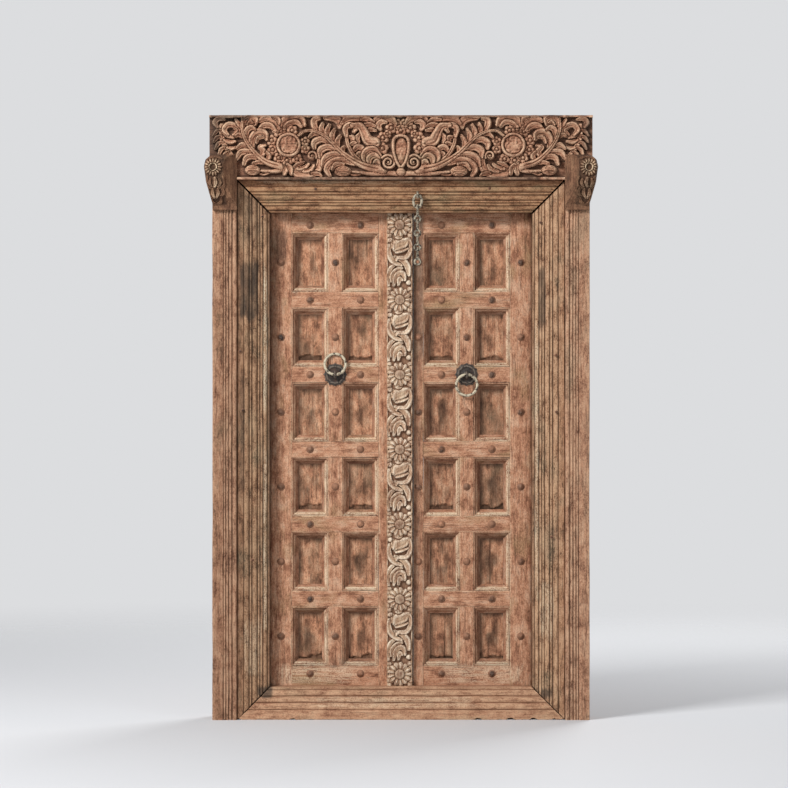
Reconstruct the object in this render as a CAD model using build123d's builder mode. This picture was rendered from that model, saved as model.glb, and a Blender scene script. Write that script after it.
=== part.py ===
"""Carved two-leaf temple door in its moulded frame, under a carved lintel.

Millimetres. X runs across the door, Z up, and the front faces -Y. Depths are counted forward
from the back plane of the frame, heights up from the underside of the sill.
"""

import os
from math import asin, atan2, cos, degrees, hypot, pi, radians, sin, tan

from build123d import *

os.makedirs("parts", exist_ok=True)

# Doorway and moulded frame
doorway_width = 924.0
doorway_height = 1667.0
frame_face = 112.0
frame_depth = 130.0
lip_depth = 95.0
rebate_width = 14.0
# (width, rise) of each bead from the lip outwards, as shares of the frame face
frame_bead_shares = ((0.06, 0.0), (0.14, 0.026), (0.09, 0.018), (0.08, 0.016),
                     (0.17, 0.02), (0.08, 0.016), (0.18, 0.032))
sill_bead_shares = ((0.08, 0.0), (0.2, 0.022), (0.2, 0.026), (0.22, 0.024))

# Pilasters beside the frame
pilaster_face = 86.0
pilaster_depth = 140.0
pilaster_groove = 136.0
pilaster_bead_shares = ((0.2, 0.036), (0.13, 0.024), (0.12, 0.022), (0.1, 0.018))

# Carved lintel across the top
lintel_length = 1340.0
lintel_height = 224.0
lintel_depth = 140.0
carving_relief = 26.0
carving_root = 2.0
lintel_fillet = 11.0
fillet_relief_share = 0.7
carving_taper = 14
lean_limit_share = 0.62
# Fronds of one half: four spine controls as shares of half length and height, lobes, reach
frond_shares = (
    (((0.037, 0.125), (0.25, 0.1), (0.33, 0.62), (0.473, 0.75)), 5, 3, 0.32),
    (((0.209, 0.2), (0.33, 0.75), (0.25, 1.05), (0.15, 0.58)), 2, 4, 0.27),
    (((0.613, 0.2), (0.74, 0.22), (0.82, 0.5), (0.823, 0.92)), 3, 4, 0.31),
    (((0.9, 0.93), (0.95, 0.9), (0.95, 0.7), (0.915, 0.58)), 2, 2, 0.19),
)
spine_swell_shares = (0.16, 0.15, 0.13, 0.11, 0.1)
lobe_first_share = 0.22
lobe_span_share = 0.72
lobe_taper_share = 0.45
lobe_width_share = 0.5
lobe_relief_share = 0.8
lobe_fall_share = 0.03
lobe_heading = 22
lobe_turn = 95
lobe_swell_shares = (0.6, 1.0, 0.95, 0.55)
# Single curls: place, heading, turn, length and width
curl_shares = (
    ((0.559, 0.11), 180, -200, 0.62, 0.1),
    ((0.085, 0.82), 70, -130, 0.3, 0.11),
    ((0.39, 0.78), 95, -120, 0.26, 0.11),
    ((0.7, 0.82), 100, 120, 0.26, 0.1),
    ((0.72, 0.82), 75, -120, 0.24, 0.1),
    ((0.53, 0.86), 25, 70, 0.24, 0.09),
    ((0.62, 0.13), 0, 12, 0.32, 0.08),
)
curl_swell_shares = (0.7, 1.0, 0.9, 0.55)
# Flowers: place, radius, petals
bloom_shares = (
    ((0.58, 0.534), 0.27, 12),
    ((0.089, 0.63), 0.075, 5),
    ((0.05, 0.79), 0.07, 5),
    ((0.105, 0.47), 0.07, 5),
)
small_petals = 5
petal_waist_share = 0.8
petal_top_share = 0.72
petal_relief_share = 0.55
eye_share = 0.55
bud_sides = 8
bud_top_share = 0.55
# Ribbed buds on the stems, and the pear at the middle
bud_shares = (((0.296, 0.13), 0.133, 0.086), ((0.766, 0.14), 0.119, 0.1))
bud_place_shares = (-1.0, -0.6, 0.0, 0.6, 1.0)
bud_swell_shares = (0.35, 0.9, 1.0, 0.85, 0.3)
bud_relief_share = 0.9
pear_place_shares = (0.18, 0.3, 0.48, 0.62, 0.7)
pear_swell_shares = (0.03, 0.055, 0.09, 0.085, 0.04)
volute_place_shares = (0.065, 0.27)
volute_radius_share = 0.12
volute_band_share = 0.045
volute_opening = 200
volute_turns = 1.4
volute_steps = 9
volute_fall_share = 0.72

# Corbels in the corners between pilasters and lintel
corbel_width = 106.0
corbel_height = 192.0
corbel_projection = 62.0
corbel_drop = 106.0
corbel_flower_radius = 31.0
corbel_flower_relief = 9.0
corbel_petals = 8
corbel_ground_share = 0.85
corbel_leaf_ground_share = 0.4
corbel_leaf_relief_share = 0.5
corbel_flower_shares = (0.72, 0.766)
# Outlines as shares of width and height, of projection and height, of width and projection
corbel_front_shares = (
    ((0.62, 1.0), (0.9, 0.94), (1.0, 0.78)),
    ((1.0, 0.78), (0.97, 0.5), (0.86, 0.27)),
    ((0.86, 0.27), (0.8, 0.12), (0.79, 0.0)),
)
corbel_back_shares = ((0.79, 0.0), (0.0, 0.0), (0.0, 0.72), (0.3, 1.0), (0.62, 1.0))
corbel_side_shares = (
    ((0.35, 1.0), (0.86, 0.94), (1.0, 0.76)),
    ((1.0, 0.76), (0.93, 0.45), (0.62, 0.22)),
    ((0.62, 0.22), (0.42, 0.1), (0.22, 0.0)),
)
corbel_rear_shares = ((0.22, 0.0), (0.0, 0.0), (0.0, 1.0), (0.35, 1.0))
corbel_plan_shares = ((0.0, 0.0), (0.0, 0.35), (0.42, 1.0), (1.0, 1.0), (1.0, 0.0))
corbel_leaf_shares = (
    ((0.78, 0.5), -95, 30, 0.36, 0.1),
    ((0.6, 0.48), -92, -20, 0.4, 0.1),
    ((0.42, 0.44), -90, -45, 0.32, 0.09),
)

# Door leaves
leaf_thickness = 45.0
leaf_lap = 10.5
lip_gap = 1.5
meeting_offset = 40.0
meeting_gap = 3.5
pivot_radius = 14.0
pivot_play = 0.5
top_pivot_length = 44.0
foot_pivot_length = 36.0
seat_gap = 0.3

# Lattice of rails and muntins
row_count = 6
meeting_clear = 79.5
opening_width = 127.0
opening_height = 206.0
rail_face = 58.0
muntin_face = 51.0
rail_tongue = 9.0
sticking_width = 12.0
sticking_fall = 9.0
board_thickness = 15.0
board_back = 8.0
board_tongue = 7.0
board_play = 0.3

# Iron studs
stud_radius = 12.0
stud_rise = 8.0
stud_crown_share = 0.55
stud_sides = 6

# Carved cover strip on the left leaf
strip_width = 90.0
strip_board = 14.0
strip_relief = 13.0
strip_end_gap = 3.0
strip_flower_share = 0.46
strip_button_share = 0.22
strip_petals = 8
# Scroll between two flowers: place from the lower one, heading, turn, length and width
scroll_shares = (
    ((0.3, 0.8), -80, -110, 0.72, 0.14),
    ((-0.16, 0.79), -110, 70, 0.62, 0.3),
    ((0.26, 0.49), 165, 140, 1.05, 0.17),
    ((0.3, 0.4), 170, 130, 0.6, 0.14),
    ((0.22, 0.24), -20, 80, 0.2, 0.16),
)

# Ring pulls
plate_radius = 42.0
plate_thickness = 3.0
plate_lobes = 12
plate_waist_share = 0.86
plate_top_share = 0.92
eye_wire = 4.0
ring_radius = 37.0
ring_wire = 5.0
ring_play = 0.9
ring_sides = 16
shank_length = 34.0
shank_half = 3.2
shank_play = 0.3

# Door chain
chain_offset = 58.0
chain_height_share = 0.527
chain_stand = 20.0
chain_ring_width = 39.0
chain_ring_length = 54.0
chain_ring_wire = 5.0
link_pitch = 50.0
link_eye_radius = 10.0
link_wire = 3.5
link_slack = 0.4
link_sides = 6
link_count = 4
# Corners of a long link, as shares of its half width and half length
oblong_shares = (
    (0.45, 1.0), (-0.45, 1.0), (-0.87, 0.83), (-1.0, 0.5), (-1.0, -0.5),
    (-0.87, -0.83), (-0.45, -1.0), (0.45, -1.0), (0.87, -0.83), (1.0, -0.5), (1.0, 0.5), (0.87, 0.83),
)
eye_sides = 8
forge_taper = 22

# Levels and distances that follow
half_doorway = doorway_width / 2
frame_edge = half_doorway + frame_face
head_level = frame_face + doorway_height
lintel_level = head_level + frame_face
doorway_middle = frame_face + doorway_height / 2
total_depth = pilaster_depth + corbel_projection + corbel_flower_relief
rebate_depth = leaf_thickness + lip_gap
leaf_edge = half_doorway + leaf_lap
leaf_bottom = frame_face - leaf_lap
leaf_height = doorway_height + 2 * leaf_lap
leaf_top = leaf_bottom + leaf_height
pivot_offset = leaf_edge - leaf_thickness / 2
row_pitch = opening_height + rail_face
column_pitch = opening_width + muntin_face
hanging_clear = meeting_clear + 2 * opening_width + muntin_face
board_front = board_back + board_thickness
sight_width = opening_width - 2 * sticking_width
sight_height = opening_height - 2 * sticking_width
board_sight = sight_height + row_pitch
eye_radius = ring_wire + ring_play + eye_wire
eye_stand = leaf_thickness + plate_thickness + eye_radius + eye_wire
pull_offset = meeting_clear + opening_width + muntin_face / 2
pull_level = doorway_middle + row_pitch
chain_level = head_level + chain_height_share * frame_face
chain_seat = lip_depth + chain_height_share * (frame_depth - lip_depth)
chain_depth = chain_seat + chain_stand
chain_eye_radius = chain_ring_wire + ring_play + eye_wire
chain_bite = frame_depth - chain_seat + shank_length
half_turn = 180
stud_stile_offset = (hanging_clear + half_doorway) / 2
corbel_flower_rise = corbel_projection * (1 - corbel_ground_share) + corbel_flower_relief
corbel_leaf_plane_depth = pilaster_depth + corbel_leaf_ground_share * corbel_projection
lean_room = eye_stand - ring_wire - leaf_thickness - seat_gap
pull_lean = half_turn + degrees(asin(lean_room / (2 * ring_radius + ring_wire)))


def across(depth):
    """Y of a depth counted forward from the back of the frame."""
    return total_depth / 2 - depth


def face_plane(depth):
    """Plane facing the viewer at a depth; its axes are the door's X and Z."""
    return Plane.XZ.offset(depth - total_depth / 2)


def save(piece, name):
    """Labels a finished piece and writes its file."""
    piece.label = name
    export_step(piece, f"parts/{name}.step")


def moulded_front(place, face, inner_depth, outer_depth, bead_shares):
    """Front line of a moulded member: beads side by side, then a plain band."""
    walked_share = 0
    for width_share, rise_share in bead_shares:
        ends = []
        for share in (walked_share, walked_share + width_share / 2, walked_share + width_share):
            ends.append((share * face, inner_depth + (outer_depth - inner_depth) * share))
        (start, level), (middle, crown), (stop, last) = ends
        if rise_share:
            ThreePointArc(place(start, level), place(middle, crown + rise_share * face), place(stop, last))
        else:
            Line(place(start, level), place(stop, last))
        walked_share += width_share
    Line(place(stop, last), place(face, outer_depth))


def frame_section(place, bead_shares):
    """Section of a frame member with the rebate for the leaves at its back."""
    moulded_front(place, frame_face, lip_depth, frame_depth, bead_shares)
    Polyline(
        place(frame_face, frame_depth),
        place(frame_face, 0),
        place(rebate_width, 0),
        place(rebate_width, rebate_depth),
        place(0, rebate_depth),
        place(0, lip_depth),
    )


def mitre(x_side, level, outward, upward):
    """Cutting plane at 45 degrees through a corner of the doorway."""
    return Plane((x_side * half_doorway, 0, level), x_dir=(0, 1, 0), z_dir=(outward, 0, upward))


def square_bar(x, level, depth, half, length):
    """Square iron bar or hole running back from a depth."""
    with BuildPart() as bar:
        with BuildSketch(face_plane(depth)):
            with Locations((x, level)):
                Rectangle(2 * half, 2 * half)
        extrude(amount=-length)
    return bar.part


def planed(plane, outlines, closed=False):
    """Solid with flat sides through (level, corners) outlines that have the same number of corners."""
    rings = []
    for level, corners in outlines:
        rings.append([plane.offset(level).from_local_coords((x, z, 0)) for x, z in corners])
    faces = []
    if not closed:
        faces = [Face(Wire.make_polygon(rings[0])), Face(Wire.make_polygon(rings[-1]))]
    for ring, after in zip(rings, rings[1:] + (rings[:1] if closed else [])):
        for index in range(len(ring)):
            side = (ring[index - 1], ring[index], after[index], after[index - 1])
            faces.append(Face(Wire.make_polygon(side)))
    return Solid(Shell(faces))


def round_corners(centre, radius, sides, opening=0):
    """Corners of a regular outline, the first of them at an angle."""
    angles = [radians(opening) + 2 * pi * step / sides for step in range(sides)]
    return [(centre[0] + radius * cos(angle), centre[1] + radius * sin(angle)) for angle in angles]


def forged_section(wire):
    """Six corners of a flat-forged bar as (level, reach) from the middle of the bar."""
    lean = wire * tan(radians(forge_taper))
    half = ((0, wire), (wire, wire - lean), (wire, lean - wire))
    return half + tuple((-level, -reach) for level, reach in half)


def iron_eye(plane, centre, radius, wire, sides):
    """Loop of bar lying in a plane, forged in flat faces with one at the top."""
    flat_up = half_turn / 2 - half_turn / sides
    outlines = []
    for level, reach in forged_section(wire):
        outlines.append((level, round_corners(centre, (radius + reach) / cos(pi / sides), sides, flat_up)))
    return planed(plane, outlines, closed=True)


def frustum(plane, centre, radius, rise, sides, top_share, root=0):
    """Faceted button standing on a plane."""
    foot = round_corners(centre, radius, sides)
    crown = round_corners(centre, radius * top_share, sides)
    return planed(plane, ((-root, foot), (rise, crown)))


def flower(plane, centre, radius, rise, petals, waist_share, top_share, root=0):
    """Ring of petals: an outline that swells and draws in once for each petal."""
    outlines = []
    for level, share in ((-root, 1), (rise, top_share)):
        points = []
        for step in range(2 * petals):
            angle = pi * step / petals
            reach = radius * share * (waist_share if step % 2 else 1)
            points.append((centre[0] + reach * cos(angle), centre[1] + reach * sin(angle)))
        outlines.append((level, points))
    return planed(plane, outlines)


def drawn_in(outline, distance):
    """Outline with every side moved in by a distance and kept parallel."""
    count = len(outline)
    normals = []
    for (x_from, z_from), (x_to, z_to) in zip(outline, outline[1:] + outline[:1]):
        length = hypot(x_to - x_from, z_to - z_from)
        normals.append(((z_to - z_from) / length, (x_from - x_to) / length))
    moved = []
    for index, (x, z) in enumerate(outline):
        (ax, az), (bx, bz) = normals[index - 1], normals[index % count]
        step = distance / (1 + ax * bx + az * bz)
        moved.append((x + (ax + bx) * step, z + (az + bz) * step))
    return moved


def ribbon(points, halves, plane, relief):
    """Chisel-cut ribbon along a line, its walls leaning in towards the crest."""
    normals = []
    for index in range(len(points)):
        before = points[max(index - 1, 0)]
        after = points[min(index + 1, len(points) - 1)]
        length = hypot(after[0] - before[0], after[1] - before[1])
        normals.append(((before[1] - after[1]) / length, (after[0] - before[0]) / length))
    one_side = []
    other_side = []
    for point, normal, half in zip(points, normals, halves):
        one_side.append((point[0] + normal[0] * half, point[1] + normal[1] * half))
        other_side.append((point[0] - normal[0] * half, point[1] - normal[1] * half))
    foot = one_side + other_side[::-1]
    lean = min(relief * tan(radians(carving_taper)), min(halves) * lean_limit_share)
    return planed(plane, ((-carving_root, foot), (relief, drawn_in(foot, lean))))


def comma(plane, start, heading, turn, length, width, relief, swell_shares):
    """Comma-shaped lobe that leaves its start along a heading and turns steadily as it goes."""
    last = len(swell_shares) - 1
    bend = length / radians(turn)
    points = []
    for step in range(last + 1):
        angle = radians(heading + turn * step / last)
        points.append(
            (
                start[0] + bend * (sin(angle) - sin(radians(heading))),
                start[1] - bend * (cos(angle) - cos(radians(heading))),
            )
        )
    return ribbon(points, [width / 2 * share for share in swell_shares], plane, relief)


def spine_point(controls, share):
    """Point and heading on a frond's spine, a cubic curve on four controls."""
    rest = 1 - share
    weights = (rest**3, 3 * rest**2 * share, 3 * rest * share**2, share**3)
    slopes = (-3 * rest**2, 3 * rest**2 - 6 * rest * share, 6 * rest * share - 3 * share**2, 3 * share**2)
    point = [sum(w * c[axis] for w, c in zip(weights, controls)) for axis in (0, 1)]
    slope = [sum(w * c[axis] for w, c in zip(slopes, controls)) for axis in (0, 1)]
    return point, degrees(atan2(slope[1], slope[0]))


def frond(plane, controls, right_lobes, left_lobes, reach, relief):
    """Leaf spray: a tapering spine with comma lobes thrown off to either side."""
    stations = len(spine_swell_shares)
    line = [spine_point(controls, step / (stations - 1))[0] for step in range(stations)]
    pieces = [ribbon(line, [reach * share for share in spine_swell_shares], plane, relief)]
    for turn_side, count in ((-1, right_lobes), (1, left_lobes)):
        for index in range(count):
            along_share = lobe_first_share + lobe_span_share * index / max(count - 1, 1)
            start, heading = spine_point(controls, along_share)
            size_share = 1 - lobe_taper_share * along_share
            pieces.append(
                comma(
                    plane, start, heading + turn_side * lobe_heading, turn_side * lobe_turn,
                    reach * size_share, reach * lobe_width_share * size_share,
                    relief * (lobe_relief_share - lobe_fall_share * (index + turn_side * along_share)),
                    lobe_swell_shares,
                )
            )
    return pieces


def spiral(plane, centre, radius, opening, turns, width, relief):
    """Volute: a ribbon that winds in evenly to its eye."""
    last = round(turns * volute_steps)
    points = []
    for step in range(last + 1):
        angle = radians(opening) + 2 * pi * step / volute_steps * (1 if turns > 0 else -1)
        reach = radius * (1 - volute_fall_share * step / last)
        points.append((centre[0] + reach * cos(angle), centre[1] + reach * sin(angle)))
    return ribbon(points, [width / 2] * (last + 1), plane, relief)


# Frame, mitred at the four corners
with BuildPart() as door_head:
    with BuildSketch(Plane.YZ.offset(-frame_edge)):
        with BuildLine():
            frame_section(lambda u, depth: (across(depth), head_level + u), frame_bead_shares)
        make_face()
    extrude(amount=2 * frame_edge)
    for side in (-1, 1):
        split(bisect_by=mitre(side, head_level, side, -1), keep=Keep.BOTTOM)
    for side in (-1, 1):
        with BuildSketch(Plane.XY.offset(leaf_top)):
            with Locations((side * pivot_offset, across(leaf_thickness / 2))):
                Circle(pivot_radius + pivot_play)
        extrude(amount=top_pivot_length + leaf_lap / 2, mode=Mode.SUBTRACT)
    add(
        square_bar(chain_offset, chain_level, frame_depth, shank_half + shank_play, chain_bite),
        mode=Mode.SUBTRACT,
    )
save(door_head.part, "door_head")

with BuildPart() as sill:
    with BuildSketch(Plane.YZ.offset(-frame_edge)):
        with BuildLine():
            frame_section(lambda u, depth: (across(depth), frame_face - u), sill_bead_shares)
        make_face()
    extrude(amount=2 * frame_edge)
    for side in (-1, 1):
        split(bisect_by=mitre(side, frame_face, side, 1), keep=Keep.BOTTOM)
    for side in (-1, 1):
        with BuildSketch(Plane.XY.offset(leaf_bottom)):
            with Locations((side * pivot_offset, across(leaf_thickness / 2))):
                Circle(pivot_radius + pivot_play)
        extrude(amount=-(foot_pivot_length + seat_gap), mode=Mode.SUBTRACT)
save(sill.part, "sill")

for side, hand in ((-1, "left"), (1, "right")):
    with BuildPart() as jamb:
        with BuildSketch():
            with BuildLine():
                frame_section(lambda u, depth: (side * (half_doorway + u), across(depth)), frame_bead_shares)
            make_face()
        extrude(amount=lintel_level)
        split(bisect_by=mitre(side, head_level, -side, 1), keep=Keep.BOTTOM)
        split(bisect_by=mitre(side, frame_face, -side, -1), keep=Keep.BOTTOM)
    save(jamb.part, f"{hand}_jamb")

    with BuildPart() as pilaster:
        with BuildSketch():
            with BuildLine():
                moulded_front(
                    lambda u, depth: (side * (frame_edge + u), across(depth)),
                    pilaster_face, pilaster_groove, pilaster_depth, pilaster_bead_shares,
                )
                Polyline(
                    (side * (frame_edge + pilaster_face), across(pilaster_depth)),
                    (side * (frame_edge + pilaster_face), across(0)),
                    (side * frame_edge, across(0)),
                    (side * frame_edge, across(pilaster_groove)),
                )
            make_face()
        extrude(amount=lintel_level)
    save(pilaster.part, f"{hand}_pilaster")

# Lintel: one beam, its front cut as mirrored halves of leaf scrolls
carving = face_plane(lintel_depth)


def on_lintel(x_share, z_share):
    """Place on the carved front from shares of the half length and of the height."""
    return (x_share * lintel_length / 2, lintel_level + z_share * lintel_height)


cuts = []
for controls, right_lobes, left_lobes, reach_share in frond_shares:
    places = [on_lintel(*control) for control in controls]
    cuts += frond(carving, places, right_lobes, left_lobes, reach_share * lintel_height, carving_relief)
for (x_share, z_share), heading, turn, length_share, width_share in curl_shares:
    cuts.append(
        comma(
            carving, on_lintel(x_share, z_share), heading, turn, length_share * lintel_height,
            width_share * lintel_height, carving_relief * (lobe_relief_share - lobe_fall_share * z_share),
            curl_swell_shares,
        )
    )
for (x_share, z_share), radius_share, petals in bloom_shares:
    place = on_lintel(x_share, z_share)
    radius = radius_share * lintel_height
    cuts.append(flower(carving, place, radius, carving_relief * petal_relief_share, petals,
                       petal_waist_share, petal_top_share, carving_root))
    if petals > small_petals:
        cuts.append(frustum(carving, place, radius * eye_share, carving_relief, bud_sides, bud_top_share,
                            carving_root))
for (x_share, z_share), long_share, tall_share in bud_shares:
    x, z = on_lintel(x_share, z_share)
    reach = long_share * lintel_height
    cuts.append(
        ribbon(
            [(x + reach * share, z) for share in bud_place_shares],
            [tall_share * lintel_height * share for share in bud_swell_shares],
            carving, carving_relief * bud_relief_share,
        )
    )
cuts.append(
    ribbon([on_lintel(0, share) for share in pear_place_shares],
           [share * lintel_height for share in pear_swell_shares], carving, carving_relief)
)
cuts.append(
    spiral(carving, on_lintel(*volute_place_shares), volute_radius_share * lintel_height, volute_opening,
           volute_turns, volute_band_share * lintel_height, carving_relief)
)

with BuildPart() as scrolls:
    with BuildSketch(face_plane(lintel_depth - 2 * carving_root)):
        with Locations((lintel_length / 4, lintel_level + lintel_height / 2)):
            Rectangle(lintel_length / 2, lintel_height - lintel_fillet)
    extrude(amount=2 * (carving_relief + carving_root))
    add(Compound(cuts), mode=Mode.INTERSECT)

with BuildPart() as half_lintel:
    with BuildSketch(face_plane(0)):
        with Locations((lintel_length / 4, lintel_level + lintel_height / 2)):
            Rectangle(lintel_length / 2, lintel_height)
    extrude(amount=lintel_depth)
    with BuildSketch(carving):
        with Locations((frame_edge / 2, lintel_level + lintel_fillet / 2)):
            Rectangle(frame_edge, lintel_fillet)
        with Locations((lintel_length / 4, lintel_level + lintel_height - lintel_fillet / 2)):
            Rectangle(lintel_length / 2, lintel_fillet)
    extrude(amount=carving_relief * fillet_relief_share)
    add(scrolls.part)

with BuildPart() as lintel:
    add(half_lintel.part)
    mirror(about=Plane.YZ)
save(lintel.part, "lintel")

# Corbels: three outlines cut through one block, then the flower and leaf on its front
for side, hand in ((-1, "left"), (1, "right")):
    corbel_level = lintel_level - corbel_drop
    corbel_face = face_plane(pilaster_depth + corbel_projection * corbel_ground_share)

    def on_corbel(x_share, z_share):
        """Place on the corbel's front from shares of its width and height."""
        return (side * (frame_edge + x_share * corbel_width), corbel_level + z_share * corbel_height)

    def beside_corbel(depth_share, z_share):
        """Place on the corbel's side from shares of its projection and height."""
        depth = pilaster_depth + depth_share * corbel_projection
        return (across(depth), corbel_level + z_share * corbel_height)

    with BuildPart() as corbel:
        with BuildSketch(face_plane(pilaster_depth)):
            with BuildLine():
                for arc in corbel_front_shares:
                    ThreePointArc(*[on_corbel(*place) for place in arc])
                Polyline(*[on_corbel(*place) for place in corbel_back_shares])
            make_face()
        extrude(amount=corbel_projection)
        with BuildSketch(Plane.YZ.offset(side * frame_edge)):
            with BuildLine():
                for arc in corbel_side_shares:
                    ThreePointArc(*[beside_corbel(*place) for place in arc])
                Polyline(*[beside_corbel(*place) for place in corbel_rear_shares])
            make_face()
        extrude(amount=side * corbel_width, mode=Mode.INTERSECT)
        with BuildSketch(Plane.XY.offset(corbel_level)):
            with BuildLine():
                Polyline(
                    *[
                        (on_corbel(x_share, 0)[0], across(pilaster_depth + depth_share * corbel_projection))
                        for x_share, depth_share in corbel_plan_shares
                    ],
                    close=True,
                )
            make_face()
        extrude(amount=corbel_height, mode=Mode.INTERSECT)
        add(flower(corbel_face, on_corbel(*corbel_flower_shares), corbel_flower_radius,
                   corbel_flower_rise - corbel_flower_relief / 2, corbel_petals, petal_waist_share,
                   petal_top_share))
        add(frustum(corbel_face, on_corbel(*corbel_flower_shares), corbel_flower_radius * eye_share,
                    corbel_flower_rise, bud_sides, bud_top_share))
        for place, heading, turn, length_share, width_share in corbel_leaf_shares:
            add(
                comma(
                    face_plane(corbel_leaf_plane_depth), on_corbel(*place),
                    heading if side > 0 else half_turn - heading, side * turn,
                    length_share * corbel_height, width_share * corbel_height,
                    corbel_projection * corbel_leaf_relief_share, curl_swell_shares,
                )
            )
    save(corbel.part, f"{hand}_corbel")

# Leaves: the lattice is cut as one blank, then parted into stiles, rails, bars and muntins
def opening_places(side):
    """Centres of the openings of one leaf, column by column from the top."""
    places = []
    for column in range(2):
        x = side * (meeting_clear + opening_width / 2 + column * column_pitch)
        for row in range(row_count):
            places.append((x, doorway_middle + ((row_count - 1) / 2 - row) * row_pitch))
    return places


def opening_corners(place):
    """Corners of an opening on the face of the lattice, clockwise."""
    x, z = place
    wide = opening_width / 2
    tall = opening_height / 2
    return [(x - wide, z - tall), (x - wide, z + tall), (x + wide, z + tall), (x + wide, z - tall)]


def board_places(side):
    """Centres of the boards, each standing behind two openings."""
    places = opening_places(side)
    return [(x, z - row_pitch / 2) for x, z in places[::2]]


def sticking_run(place, x_way, z_way):
    """Mitred strip of moulding along one edge of an opening."""
    x, z = place
    wide = opening_width / 2
    tall = opening_height / 2
    if x_way:
        corners = [(wide * x_way, tall), (wide * x_way, -tall)]
        corners += [((wide - sticking_width) * x_way, sticking_width - tall)]
        corners += [((wide - sticking_width) * x_way, tall - sticking_width)]
    else:
        corners = [(wide, tall * z_way), (-wide, tall * z_way)]
        corners += [(sticking_width - wide, (tall - sticking_width) * z_way)]
        corners += [(wide - sticking_width, (tall - sticking_width) * z_way)]
    with BuildSketch() as run:
        with BuildLine():
            Polyline(*[(x + dx, z + dz) for dx, dz in corners], close=True)
        make_face()
    return run.sketch


def slab(low, high, spans, runs=(), notches=()):
    """Flat prism between two depths: spans are (x, x, z, z) rectangles, notches cut from them."""
    with BuildSketch() as outline:
        for cut, boxes in ((Mode.ADD, spans), (Mode.SUBTRACT, notches)):
            for x_from, x_to, z_from, z_to in boxes:
                with Locations(((x_from + x_to) / 2, (z_from + z_to) / 2)):
                    Rectangle(abs(x_to - x_from), abs(z_to - z_from), mode=cut)
        if runs:
            add(list(runs))
    with BuildPart() as prism:
        extrude(face_plane(low) * outline.sketch, amount=high - low)
    return prism.part


leaf_names = {-1: "left", 1: "right"}
meeting_edges = {-1: meeting_offset, 1: meeting_offset + meeting_gap}
sight_inner = meeting_clear + sticking_width
sight_outer = hanging_clear - sticking_width

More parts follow.
